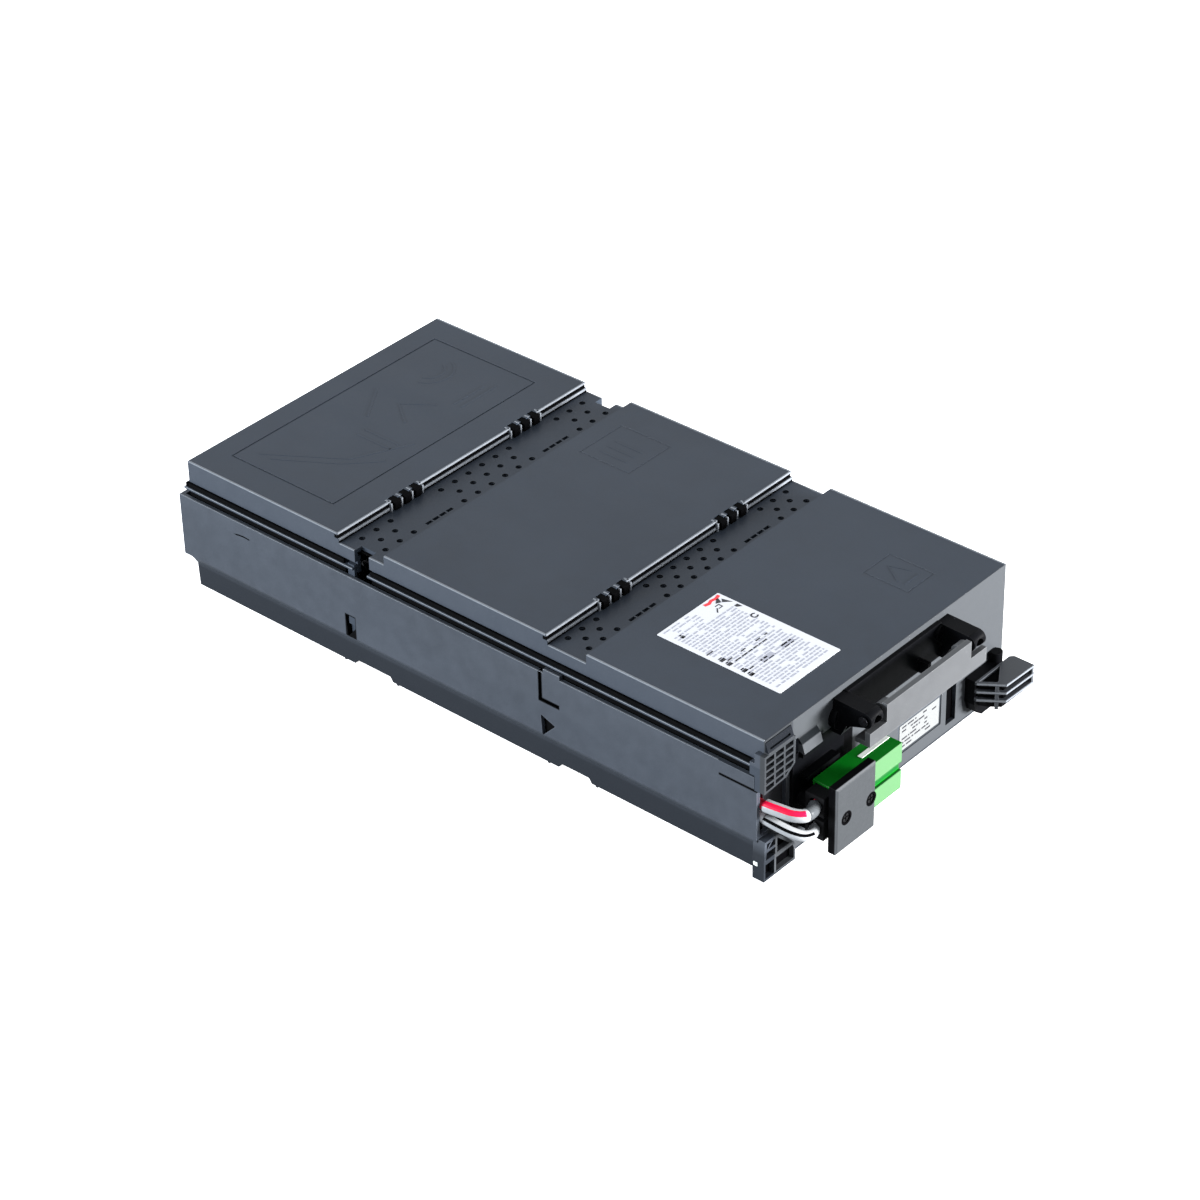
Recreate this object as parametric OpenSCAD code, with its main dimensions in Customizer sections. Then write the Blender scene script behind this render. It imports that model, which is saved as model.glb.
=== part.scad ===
// Slide-in battery cartridge for a rack power supply.
// +X is the right-hand side seen from the front, +Y runs to the rear, +Z is up.
// The origin is the middle of the underside.

/* [Case] */
// Width of the cover
cover_w = 190; // [188:0.5:194]
// Length of the cover, front to rear
cover_l = 384; // [380:0.5:390]
// Height from the underside to the panel tops
case_h = 80.4; // [79.5:0.1:84]
// Width of the tray across its upper walls
tray_w = 196; // [194:0.5:200]
// Width of the tray across its narrower lower band
band_w = 188; // [186.5:0.5:190]
// Height of the tray's upper rim
rim_z = 59.5; // [57:0.1:61]
// Thickness of the moulded walls
wall = 2.3; // [1.8:0.1:2.5]

/* [Cover] */
// Depth of the two valleys below the panels
valley_depth = 5.4; // [4:0.1:6.5]
// Radius of the vent holes in the valleys
vent_r = 1.3; // [0.8:0.1:1.5]
// Distance from one vent hole to the next in a row
vent_pitch = 10.4; // [8:0.1:11]

/* [Handle] */
// Height of the grip's hinge axis
hinge_z = 72; // [70:0.5:73]
// Distance of the hinge axis in front of the cover
hinge_reach = 19; // [17:0.5:22]
// Radius of the hinge pins
pin_r = 1.5; // [1.2:0.1:2]
// Height of the grip plate
grip_h = 18; // [15:0.5:19]

/* [Connector] */
// Length of the connector body
plug_l = 58; // [52:1:62]
// Thickness of the connector body
plug_t = 15; // [14:0.5:17]
// Height of the connector body
plug_h = 27; // [26:0.5:30]
// Distance between the two poles
pole_pitch = 13.6; // [13:0.1:14]

/* [Batteries] */
// Width of one battery block
block_w = 90; // [86:0.5:90]
// Thickness of one battery block, which stands upright in the case
block_t = 70; // [66:0.5:70]
// Length of one battery block over its lid
block_l = 101; // [98:0.5:101]

/* [Leads] */
// Diameter of the two main leads
lead_d = 4.8; // [4:0.1:5]
// Diameter of the sleeves over the leads in front of the case
sleeve_d = 6.6; // [6:0.1:7]
// Diameter of the jumper wires between the blocks
jumper_d = 4; // [3:0.1:4.4]

/* [Hidden] */
eps = 0.01;

// Case outline
cover_x = cover_w / 2;
cover_y = cover_l / 2;
tray_x = tray_w / 2;
band_x = band_w / 2;
front_y = -cover_y + 2;
rear_y = cover_y + 5.5;
seam_z = 55.5;
side_z = 67.8;
valley_z = case_h - valley_depth;
band_top_z = 17;
shoulder_z = 22.5;
foot_chamfer = 2.7;

// Valleys across the cover, each [front edge, rear edge]
valleys = [[51.5, 83.7], [-82.5, -56.7]];
// Rows of vent holes in each valley
vent_rows = [[76.7, 68.6, 60.5], [-61.6, -68.3, -75]];
// Grip channels across the underside, each [front edge, rear edge]
channels = [[49.5, 80.6], [-84.8, -59]];
channel_depth = 5.5;
channel_slope = [3.3, 5.2];

// Places along the cover's panel edges
rib_group_x = 45.4;
rib_pitch = 7.7;
side_vents_x = 74;

// Handle
handle_x = 1.5;
arm_w = 9;
arm_gap = 82;
arm_in = arm_gap / 2 - 4;
hinge_y = -cover_y - hinge_reach;
grip_face_y = hinge_y - 4.2;
grip_half = 46.2;
grip_mid_half = 33.4;
grip_top_z = hinge_z + 4.6;
boss_r = 4.2;
frame_z = [57, 77];
screw_spots = [[-40.5, 71], [-41.5, 62.5], [40.5, 71], [41.5, 62.5]];
// Round lobes of the frame beside each arm, [X, Z, radius]
lobes = [[-37.8, 70.7, 5.2], [-42.4, 65, 6.2], [37.8, 70.7, 5.2], [42.4, 65, 6.2]];

// Latch between the cover's front wall and the connector bracket
latch_x = [-69.8, -56];
bracket_x = [-73.5, -34.3];
bracket_top_z = 59.4;

// Guide ear: outline of its fins from above, outline of the tongue inside, fin heights
ear_outline = [[66.4, -196.4], [66.4, -197.6], [74.8, -209.8], [97.4, -210.4], [97.4, -198.2],
               [95.4, -196.4]];
ear_tongue = [[70.5, -196.4], [72.4, -200.5], [76.6, -206.2], [94.6, -206.4], [94.6, -199],
              [92.4, -196.4]];
ear_fin_z = [15.2, 20.1, 25];
ear_fin_t = 1.5;
ear_low_z = 10;

// Connector
plug_x = -74;
plug_y = -213;
plug_z = 31;
grommet_l = 8;
plate_size = [30.2, 5, 38.7];
plate_x = -73;
clamp_x = [-65.4, -46.4];
clamp_r = 1.9;
pole_z = [plug_z + pole_pitch / 2, plug_z - pole_pitch / 2];

// Batteries: rows of two, [end away from the terminals, direction of the terminals]
block_rows = [[187.7, -1], [-53, 1], [-187.4, 1]];
block_z = wall + 0.2;
lid_t = 6;
cell_wall = 1.6;
cell_mid_wall = 1.2;
tab_x = 33;
tab_z = 58 - block_z;
tab_size = [6.3, 6.5, 0.8];

// Wiring planes: where the receptacle barrels lie in each row
barrel_y = [block_rows[0][0] - block_l - 3.5, block_rows[1][0] + block_l + 3.5,
            block_rows[2][0] + block_l + 3.5];
wall_wire_x = (tray_x - wall + block_w + 0.3) / 2;

// In-line fuse in the front valley
fuse_x = -57;
fuse_y = -66;
fuse_z = 34;
fuse_r = 6.5;

// Lead routes, from the connector round the front-left corner and along the left wall
positive_route = [
    [-70, -205.5, pole_z[0]], [-74, -205.9, pole_z[0]], [-79, -208, 38.2],
    [-85, -208.4, 39.2], [-89.3, -204.8, 40.3], [-91.2, -199, 41], [-92.5, -193, 41.4],
    [-93, -187, 41.3], [-wall_wire_x, -178, 41],
    [-wall_wire_x, -140, 41], [-wall_wire_x, -100, 41], [-wall_wire_x, -90, 41],
    [-92.9, -84, 40.6], [-91.4, -78, 39], [-88, -71, 36.5], [-83.5, -67, 34.5],
    [-79.5, -66, 34], [-76, -66, 34]
];
negative_route = [
    [-70, -205.5, pole_z[1]], [-74, -206, pole_z[1]], [-79, -208.2, 24.9],
    [-84.3, -207.6, 26.4], [-88, -203.6, 28.4], [-90.4, -198, 30.6], [-92, -193, 32.5],
    [-93, -187, 33.8], [-wall_wire_x, -178, 34],
    [-wall_wire_x, -140, 34], [-wall_wire_x, -60, 34], [-wall_wire_x, 0, 34],
    [-wall_wire_x, 36, 34], [-wall_wire_x, 46, 34.3], [-91.4, 54, 35.5], [-82, 60, 39],
    [-60, 61, 45], [-40, 58, 51], [-30, 54, 56.6], [-26, barrel_y[1], 58],
    [-23, barrel_y[1], 58], [-19.6, barrel_y[1], 58]
];
// Jumpers in the order of the circuit, then the tail from the fuse to the first block
jumper_routes = [
    [[-72, barrel_y[2], 58], [-70, barrel_y[2], 58], [-68, barrel_y[2], 58], [-63, -82.2, 55.6],
     [-57, -81, 50], [-50, -80.6, 46], [-30, -80.6, 45], [-14, -80.6, 45.6], [-7, -81.2, 50],
     [-2, -82.4, 56], [1.6, barrel_y[2], 58], [3.4, barrel_y[2], 58], [6, barrel_y[2], 58]],
    [[84.5, barrel_y[2], 58], [86.5, barrel_y[2], 58], [88.4, -82, 56.5], [90, -79, 51],
     [91.4, -74, 47], [92.8, -66, 44.4], [93, -56, 44], [93, -10, 44], [93, 30, 44], [93, 40, 44],
     [93, 47, 45], [91.8, 51.2, 49], [89.6, barrel_y[1] + 0.3, 55], [86.6, barrel_y[1], 58],
     [84.5, barrel_y[1], 58]],
    [[18.5, barrel_y[1], 58], [20.5, barrel_y[1], 58], [23, barrel_y[1], 58], [28, 56, 58],
     [30, 63, 58], [30, 72, 58], [28, 79, 58], [23, barrel_y[0], 58], [20.5, barrel_y[0], 58],
     [18.5, barrel_y[0], 58]],
    [[72, barrel_y[0], 58], [70, barrel_y[0], 58], [68, barrel_y[0], 58], [60, 80, 54], [50, 75, 48],
     [34, 73, 46], [14, 73, 46], [5, 77, 51], [1, 81.6, 56.4], [-2, barrel_y[0], 58],
     [-4, barrel_y[0], 58], [-6, barrel_y[0], 58]],
    [[-72, barrel_y[1], 58], [-70, barrel_y[1], 58], [-67.6, barrel_y[1], 58], [-62, 56, 58],
     [-60, 63, 58], [-60, 72, 58], [-62, 79, 58], [-67.6, barrel_y[0], 58], [-70, barrel_y[0], 58],
     [-72, barrel_y[0], 58]],
    [[-38, -66, 34], [-34, -66, 35.4], [-30, -67.6, 41], [-27.4, -71.6, 48.6], [-26, -76.6, 54.4],
     [-24.6, -80.8, 57.4], [-22.6, barrel_y[2], 58], [-20.6, barrel_y[2], 58],
     [-18.6, barrel_y[2], 58]]
];

// ---------------------------------------------------------------- helpers

// Box between two corners
module span(low, high) {
    translate(low) cube(high - low);
}

// Cylinder along +X, centred on the given point
module rod_x(p, r, length) {
    translate(p) rotate([0, 90, 0]) cylinder(r = r, h = length, center = true, $fn = 32);
}

// Cylinder along +Y, starting at the given point
module rod_y(p, r, length, sides = 32) {
    translate(p) rotate([-90, 0, 0]) cylinder(r = r, h = length, $fn = sides);
}

// Outline in X and Z, extruded along Y
module extrude_y(y0, y1) {
    translate([0, y1, 0]) rotate([90, 0, 0]) linear_extrude(height = y1 - y0) children();
}

// Outline in Y and Z, extruded along X
module extrude_x(x0, x1) {
    translate([x0, 0, 0]) rotate([90, 0, 90]) linear_extrude(height = x1 - x0) children();
}

// Outline in X and Y, extruded along Z
module extrude_z(outline, z0, z1) {
    translate([0, 0, z0]) linear_extrude(height = z1 - z0) polygon(outline);
}

// The same shape on both sides of the case
module both_sides() {
    children();
    mirror([1, 0, 0]) children();
}

// Point on a smooth curve through p1 and p2, with p0 and p3 as its neighbours
function blend(p0, p1, p2, p3, t) =
    0.5 * (2 * p1 + (p2 - p0) * t + (2 * p0 - 5 * p1 + 4 * p2 - p3) * t * t
           + (3 * p1 - p0 - 3 * p2 + p3) * t * t * t);
function smooth(route, steps) = let (n = len(route)) concat(
    [for (i = [0 : n - 2], k = [0 : steps - 1])
        blend(route[max(i - 1, 0)], route[i], route[i + 1], route[min(i + 2, n - 1)], k / steps)],
    [route[n - 1]]);
function unit(v) = v / norm(v);

// Round tube swept along a route that is never vertical
module swept_tube(route, d, steps = 3, sides = 10) {
    path = smooth(route, steps);
    n = len(path);
    along = [for (i = [0 : n - 1]) unit(path[min(i + 1, n - 1)] - path[max(i - 1, 0)])];
    side = [for (i = [0 : n - 1]) unit(cross(along[i], [0, 0, 1]))];
    rise = [for (i = [0 : n - 1]) cross(side[i], along[i])];
    ring = [for (i = [0 : n - 1], k = [0 : sides - 1])
        path[i] + d / 2 * (cos(360 * k / sides) * side[i] + sin(360 * k / sides) * rise[i])];
    skin = [for (i = [0 : n - 2], k = [0 : sides - 1])
        [i * sides + k, i * sides + (k + 1) % sides, (i + 1) * sides + (k + 1) % sides,
         (i + 1) * sides + k]];
    start_cap = [[for (k = [0 : sides - 1]) sides - 1 - k]];
    end_cap = [[for (k = [0 : sides - 1]) (n - 1) * sides + k]];
    polyhedron(points = ring, faces = concat(start_cap, skin, end_cap), convexity = 10);
}

// ---------------------------------------------------------------- tray

// Cross-section of the tray, inset by the given wall
module tray_section(inset) {
    lower = band_x - inset;
    upper = tray_x - inset;
    floor_z = inset;
    c = foot_chamfer - inset / 2;
    right = [[lower - c, floor_z], [lower, floor_z + c], [lower + 0.6, band_top_z + inset / 2],
             [upper, shoulder_z + inset / 2], [upper, rim_z + (inset > 0 ? 1 : 0)]];
    left = [for (i = [len(right) - 1 : -1 : 0]) [-right[i][0], right[i][1]]];
    polygon(concat(right, left));
}

// Sloped ridge or channel across the underside
module channel_shape(edges, grow) {
    polygon([[edges[0] - grow, -1], [edges[0] - grow, 0],
             [edges[0] + channel_slope[0] - grow, channel_depth + grow],
             [edges[1] - channel_slope[1] + grow, channel_depth + grow],
             [edges[1] + grow, 0], [edges[1] + grow, -1]]);
}

// Openings in one side wall of the tray: hook window, snap finger slot and detent hole
module side_wall_cuts() {
    extrude_x(tray_x - 8, tray_x + 1) {
        polygon([[71.8, 35.6], [78.4, 35.2], [77.4, 22], [71.8, 28.6]]);
        polygon([[-54.4, 34], [-63.8, 30.4], [-55.2, 21.4]]);
        translate([-55.4, 42.4]) square([1.6, 20]);
        translate([-66.8, 42.4]) square([12, 1.8]);
    }
}

module corner_foot() {
    outline = [[-98, 0], [-74, 0], [-74, 8.6], [-75.4, 11.4], [-87.6, 23.2], [-97, 23.2], [-98, 12]];
    wall_y = front_y + 2.5;
    face_y = -194.5;
    difference() {
        extrude_y(face_y, wall_y) polygon(outline);
        extrude_y(face_y - 1, face_y + 5) {
            polygon([[-96.8, 1.4], [-90.2, 1.4], [-90.2, 9.8], [-96.8, 9.8]]);
            polygon([[-88.8, 1.4], [-75.2, 1.4], [-75.2, 7.6], [-76.2, 9.8], [-88.8, 9.8]]);
            polygon([[-96.4, 12.4], [-89.4, 12.4], [-89.4, 16.6], [-96, 16.6]]);
            polygon([[-96, 18], [-92.4, 21.8], [-95.8, 21.8]]);
            polygon([[-95, 18], [-89.4, 18], [-89.4, 21.8], [-91.4, 21.8]]);
            polygon([[-88, 12.4], [-78.6, 12.4], [-87.4, 20.9], [-88, 20.9]]);
        }
        span([-99, wall_y - 3, 7.4], [-96.6, wall_y + 1, 10.2]);
    }
}

module tray() {
    exit_x = [-tray_x + wall, -76];
    exit_z = [25, rim_z + 1];
    color("dimgray") difference() {
        union() {
            difference() {
                union() {
                    extrude_y(front_y, cover_y) tray_section(0);
                    span([-tray_x, cover_y - 1, shoulder_z], [tray_x, rear_y, rim_z]);
                }
                for (edges = channels) extrude_x(-tray_x - 1, tray_x + 1) channel_shape(edges, 0);
                difference() {
                    union() {
                        extrude_y(front_y + wall, cover_y - wall) tray_section(wall);
                        span([-tray_x + wall, cover_y - 5, shoulder_z + wall],
                             [tray_x - wall, rear_y - wall, rim_z + 1]);
                    }
                    for (edges = channels)
                        extrude_x(-tray_x, tray_x) channel_shape(edges, wall);
                }
            }
            corner_foot();
            // Locating ribs that hold the rows of blocks apart
            for (edges = [[85, 86.5], [48.2, 49.7], [-86.2, -84.7], [-54.8, -53.3]])
                span([-band_x + 1, edges[0], 1], [band_x - 1, edges[1], 16]);
            // Ledges that carry the cover's skirt
            both_sides() for (y = [-150, -30, 20, 150])
                span([tray_x - 6, y - 8, 48], [tray_x - 1, y + 8, 50]);
            // Raised snap finger at each side
            both_sides() span([tray_x - wall, -67.4, rim_z - 1], [tray_x, -56.8, rim_z + 2.4]);
            // Saddle under the fuse holder
            span([fuse_x - 5, fuse_y - 3, 7], [fuse_x + 5, fuse_y + 3, fuse_z - fuse_r]);
        }
        both_sides() side_wall_cuts();
        // Corner where the two leads leave the case
        span([exit_x[0], front_y - 1, exit_z[0]], [exit_x[1], front_y + wall + 1, exit_z[1]]);
        // Clearance under the cover's corner block
        span([-tray_x - 1, front_y - 1, 51.8], [-74.6, front_y + 1.8, rim_z + 1]);
        // Keying slot in the front wall
        span([51.6, front_y - 1, 5.2], [59.6, front_y + wall + 1, 27]);
        // Shallow field for the front label
        span([12, front_y - 1, 8.6], [47.4, front_y + 0.5, 27]);
        // Witness line of the cover's corner wrap
        span([-tray_x - 1, -167, 51.6], [-tray_x + 0.5, front_y, 52.4]);
    }
}

// ---------------------------------------------------------------- cover

// Side view of the cover's top: three panels with lipped front edges, two valleys
module cover_profile(low_z) {
    v0 = valleys[0];
    v1 = valleys[1];
    lip = 1;
    groove = 2;
    ledge = 0.9;
    ledge_z = valley_z + 2.3;
    polygon([
        [-cover_y, low_z], [-cover_y, case_h], [v1[0], case_h], [v1[0], valley_z],
        [v1[1] - ledge, valley_z], [v1[1] - ledge, ledge_z], [v1[1] + groove, ledge_z],
        [v1[1] + groove, case_h - lip], [v1[1], case_h - lip], [v1[1], case_h], [v0[0], case_h],
        [v0[0], valley_z], [v0[1] - ledge, valley_z], [v0[1] - ledge, ledge_z],
        [v0[1] + groove, ledge_z], [v0[1] + groove, case_h - lip], [v0[1], case_h - lip],
        [v0[1], case_h], [cover_y, case_h], [cover_y, low_z]
    ]);
}

// Space inside the cover, under the panels and valleys
module cover_cavity() {
    span([-cover_x + wall, -cover_y + wall, side_z + wall],
         [cover_x - wall, cover_y - wall, valley_z - wall]);
    for (y = [[valleys[0][1] + 5, cover_y - wall], [valleys[1][1] + 5, valleys[0][0] - wall],
              [-cover_y + wall, valleys[1][0] - wall]])
        span([-cover_x + wall, y[0], side_z + wall], [cover_x - wall, y[1], case_h - wall]);
}

// One row of holes of the vent pattern, and the dashes beside the rib groups
module vent_row(y, count, centre_x) {
    for (i = [0 : count - 1])
        translate([centre_x + (i - (count - 1) / 2) * vent_pitch, y, valley_z - wall - 1])
            cylinder(r = vent_r, h = wall + 2, $fn = 16);
}

module valley_vents(rows) {
    for (k = [0 : 2]) {
        vent_row(rows[k], k == 1 ? 5 : 6, 0);
        for (side = [-1, 1]) vent_row(rows[k], k == 1 ? 2 : 3, side * side_vents_x);
    }
    for (side = [-1, 1], i = [0 : 3])
        translate([side * (rib_group_x - 0.8) + (i - 1.5) * 5.1 - 1.8, rows[2] - 0.7,
                   valley_z - wall - 1])
            cube([3.6, 1.4, wall + 2]);
}

// Three notches with bars between them, cut through a panel's front edge
module rib_notches(edge_y) {
    for (side = [-1, 1], i = [-1 : 1])
        translate([side * rib_group_x + i * rib_pitch - 2.2, edge_y - 2, valley_z])
            cube([4.4, 5, valley_depth + 1]);
}

// Shallow frame line engraved in a panel
module engraved_frame(low, high, line = 0.9, depth = 0.35) {
    difference() {
        span([low[0], low[1], case_h - depth], [high[0], high[1], case_h + 1]);
        span([low[0] + line, low[1] + line, case_h - 1], [high[0] - line, high[1] - line, case_h + 2]);
    }
}

// Ribbed block at the front-left corner
module corner_block() {
    face_y = -194.5;
    difference() {
        union() {
            extrude_y(face_y, front_y + 1.5)
                polygon([[-98, 52], [-82, 53.2], [-75, 58], [-75, 73.6], [-98, 73.6]]);
            extrude_x(-95, -76)
                polygon([[-cover_y + 1, 73], [face_y, 73], [face_y, 74], [-cover_y - 0.6, 79.4],
                         [-cover_y + 1, 79.4]]);
            span([-tray_x, -188.5, 60.6], [-cover_x + 1, -185.6, 67.8]);
        }
        intersection() {
            for (col = [0 : 2], row = [0 : 4])
                span([-96.8 + col * 7.2, face_y - 1, 53.4 + row * 4],
                     [-90.9 + col * 7.2, face_y + 3.8, 56.2 + row * 4]);
            extrude_y(face_y - 1, face_y + 4)
                polygon([[-97, 53.2], [-82.6, 54.4], [-76.2, 58.8], [-76.2, 72.4], [-97, 72.4]]);
        }
        span([-93, face_y - 1, 75.4], [-78, -cover_y - 0.9, 76.6]);
    }
}

module top_cover() {
    flange_x = cover_x + 2.2;
    flange_z = [64, 65.2];
    skirt_x = cover_x - 1.8;
    skirt_y = cover_y - 1.8;
    skirt_z = 50;
    notch_y = [62, 72];
    color("slategray") difference() {
        union() {
            difference() {
                union() {
                    extrude_x(-cover_x, cover_x) cover_profile(side_z);
                    span([-flange_x, front_y + 2, flange_z[0]], [flange_x, cover_y + 2, flange_z[1]]);
                    span([-skirt_x, front_y + wall + 0.3, skirt_z], [skirt_x, skirt_y, side_z + 1]);
                    // Front wall down to the seam, wrapped round the right-hand corner
                    span([-cover_x + 16, -cover_y, rim_z + 0.3], [0, front_y - 0.1, side_z + 1]);
                    span([bracket_x[1] + 0.3, -cover_y, seam_z],
                         [cover_x, front_y - 0.1, side_z + 1]);
                    span([cover_x - 10, -cover_y, rim_z + 0.6], [cover_x, front_y + 3, side_z + 1]);
                    span([-cover_x, -cover_y, 73], [cover_x, front_y + 3, side_z + 8]);
                }
                span([-skirt_x + wall, front_y, skirt_z - 1],
                     [skirt_x - wall, skirt_y - wall, side_z + wall + eps]);
                // The skirt stops short where the wires pass
                for (edges = valleys)
                    span([-cover_x, edges[0] - 3, skirt_z - 1], [cover_x, edges[1] + 2, rim_z + 1.2]);
                cover_cavity();
            }
            corner_block();
            // Hooks that snap into the tray's windows
            both_sides() {
                span([tray_x - wall - 2.1, 72.4, 24], [tray_x - wall - 0.2, 76.8, 66]);
                span([tray_x - wall - 0.3, 72.4, 30], [tray_x - 0.8, 76.8, 34.4]);
            }
            // Latch tab over the catch of the connector bracket
            extrude_x(latch_x[0], latch_x[1])
                polygon([[-cover_y + 0.2, 68.3], [-cover_y - 2.5, 65.2], [-cover_y - 4.1, 60.2],
                         [-cover_y - 3.1, 59.7], [-cover_y + 0.2, 60.6]]);
            // Screw bosses behind the handle frame
            for (spot = screw_spots)
                rod_y([handle_x + spot[0], -cover_y + 1, spot[1]], 3, 3.3);
        }
        for (rows = vent_rows) valley_vents(rows);
        for (edges = valleys) rib_notches(edges[1]);
        both_sides()
            span([cover_x - 5.5, notch_y[0], rim_z + 1], [tray_x + 1, notch_y[1], valley_z + 1]);
        for (spot = screw_spots)
            rod_y([handle_x + spot[0], -cover_y - 1, spot[1]], 1.25, 7);
        // Slits that let the latch tab bend
        for (x = [[latch_x[0] - 1.8, 68.3], [latch_x[1] + 3, 62]])
            span([x[0], -cover_y - 1, rim_z], [x[0] + 1.8, front_y, x[1]]);
        engraved_frame([-77, 104], [78, 178]);
        engraved_frame([40, 6], [74, 40]);
        engraved_frame([44, -170], [66, -142]);
    }
}

// ---------------------------------------------------------------- handle

module handle_frame() {
    base_y = -cover_y - 2.5;
    color("black") difference() {
        union() {
            translate([handle_x, 0, 0]) {
                span([-arm_in, base_y, frame_z[0]], [arm_in, -cover_y, frame_z[1]]);
                for (lobe = lobes)
                    rod_y([lobe[0], base_y - 1, lobe[1]], lobe[2], 3.5);
                for (side = [-1, 1]) {
                    x = side * (arm_gap / 2 - 0.2);
                    extrude_x(x - arm_w / 2, x + arm_w / 2)
                        polygon([[-cover_y, 57], [-cover_y, 76.6], [hinge_y, 76.2],
                                 [hinge_y, hinge_z - boss_r], [base_y - 6, 64], [base_y - 2.5, 57]]);
                    rod_x([x, hinge_y, hinge_z], boss_r, arm_w);
                }
                // Middle gusset between the two finger gaps
                span([18, -cover_y - 9, 58], [20.6, -cover_y, 65]);
            }
        }
        translate([handle_x, 0, 0]) {
            for (side = [-1, 1])
                rod_x([side * (arm_gap / 2 - 0.2), hinge_y, hinge_z], pin_r + 0.02, arm_w + 2);
            for (spot = screw_spots) {
                rod_y([spot[0], base_y - 12, spot[1]], 1.3, 16);
                rod_y([spot[0], base_y - 22, spot[1]], 3, 21.6);
            }
        }
    }
}

module handle_grip() {
    inner_y = grip_face_y + 3;
    bottom_z = grip_top_z - grip_h;
    shoulder = hinge_z - boss_r - 1.2;
    knuckle_r = 3.6;
    color("gray") translate([handle_x, 0, 0]) difference() {
        union() {
            span([-grip_half, grip_face_y, bottom_z], [grip_half, inner_y, shoulder]);
            span([-grip_mid_half, grip_face_y, bottom_z + 1], [grip_mid_half, inner_y, grip_top_z]);
            span([-grip_half, grip_face_y, bottom_z], [grip_half, inner_y + 6, bottom_z + 2.6]);
            for (side = [-1, 1]) {
                rod_x([side * (grip_mid_half - 3), hinge_y, hinge_z], knuckle_r, 6);
                span([side * (grip_mid_half - 3) - 3, inner_y - 1, hinge_z - knuckle_r],
                     [side * (grip_mid_half - 3) + 3, hinge_y, hinge_z + knuckle_r]);
            }
            for (x = [-22, 0, 22]) span([x - 0.8, inner_y - 1, bottom_z], [x + 0.8, inner_y + 3, 70]);
        }
        for (side = [-1, 1])
            rod_x([side * (grip_mid_half - 3), hinge_y, hinge_z], pin_r + 0.06, 8);
    }
}

module hinge_pins() {
    outer = arm_gap / 2 - 0.2 + arm_w / 2 + 0.6;
    inner = grip_mid_half - 5.4;
    color("silver") translate([handle_x, 0, 0])
        for (side = [-1, 1]) {
            rod_x([side * (outer + inner) / 2, hinge_y, hinge_z], pin_r, outer - inner);
            rod_x([side * (outer + 0.5), hinge_y, hinge_z], pin_r + 1, 1);
        }
}

module frame_screws() {
    color("darkslategray") translate([handle_x, 0, 0])
        for (spot = screw_spots) difference() {
            union() {
                rod_y([spot[0], -cover_y - 3, spot[1]], 1.2, 7.2);
                rod_y([spot[0], -cover_y - 4.8, spot[1]], 2.7, 1.9);
            }
            span([spot[0] - 2, -cover_y - 5, spot[1] - 0.4],
                 [spot[0] + 2, -cover_y - 4, spot[1] + 0.4]);
            span([spot[0] - 0.4, -cover_y - 5, spot[1] - 2],
                 [spot[0] + 0.4, -cover_y - 4, spot[1] + 2]);
        }
}

// ---------------------------------------------------------------- guide ear

// Ribbed shell: three fins joined by a web on the slanted flank and one at the right end
module guide_ear() {
    top_z = ear_fin_z[2] + ear_fin_t;
    color("slategray") difference() {
        union() {
            for (z = ear_fin_z) extrude_z(ear_outline, z, z + ear_fin_t);
            extrude_z([[71.6, -205.2], [72.7, -206.75], [76, -204.5], [74.9, -202.9]],
                      ear_low_z + 1, top_z - 0.5);
            extrude_z([[95.8, -210.3], [97.3, -210.3], [97.3, -198.6], [95.8, -198.6]],
                      ear_fin_z[0], top_z - 0.5);
        }
        extrude_z([for (p = ear_tongue) p + [p[0] < 80 ? -0.1 : 0.1, p[1] < -205 ? -0.1 : 0.1]],
                  ear_low_z - 1, ear_fin_z[2] - 0.05);
        // Three-cornered window over the tongue
        extrude_z([[68.2, -197.6], [86, -197.6], [74.9, -204.8], [73.4, -205]],
                  ear_fin_z[2] - 0.1, top_z + 1);
    }
}

// Base plate on the front wall, with the tongue that carries the ribbed shell
module ear_base() {
    base_y = ear_outline[0][1] + 0.1;
    barrel = [89.2, -193.1];
    barrel_r = 3.05;
    color("black") {
        extrude_y(base_y, front_y)
            polygon([[67, 26.2], [67, 12], [69, 6.5], [73.5, 3], [88.5, 3], [88.5, 26.2]]);
        extrude_z([for (p = ear_tongue) [p[0], min(p[1], base_y + 1)]], ear_low_z,
                  ear_fin_z[2] - 0.15);
        span([ear_tongue[0][0], base_y - 0.2, ear_low_z],
             [ear_tongue[5][0], base_y + 1, ear_fin_z[2] - 0.15]);
        translate([barrel[0], barrel[1], 14]) cylinder(r = barrel_r, h = 17.6, $fn = 32);
        span([barrel[0] - barrel_r, barrel[1], 14], [barrel[0] + barrel_r, front_y, 31]);
    }
}

// ---------------------------------------------------------------- connector

module connector_housing() {
    end_x = plug_x + plug_l;
    back_y = plug_y + plug_t;
    low_z = plug_z - plug_h / 2;
    high_z = plug_z + plug_h / 2;
    color("limegreen") difference() {
        span([plug_x + grommet_l, plug_y, low_z], [end_x, back_y, high_z]);
        // Groove between the two poles, on both faces
        for (y = [plug_y - 1, back_y - 1.6])
            span([plug_x + 33, y, plug_z - 2.6], [end_x + 1, y + 2.6, plug_z + 2.2]);
        for (z = pole_z) {
            // Mouth for the mating connector, and the bore for the lead and its contact
            span([end_x - 20, plug_y + 2.6, z - 4.9], [end_x + 1, back_y - 2.6, z + 4.9]);
            rod_x([end_x - 20 - 20, (plug_y + back_y) / 2, z], 3.5, 60);
        }
        for (x = clamp_x) rod_y([x, plug_y - 1, plug_z], clamp_r + 0.15, plug_t + 2);
        // Stepped top edge near the mating end
        span([end_x - 12, plug_y + 9, high_z - 1.6], [end_x + 1, back_y + 1, high_z + 1]);
    }
}

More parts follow.
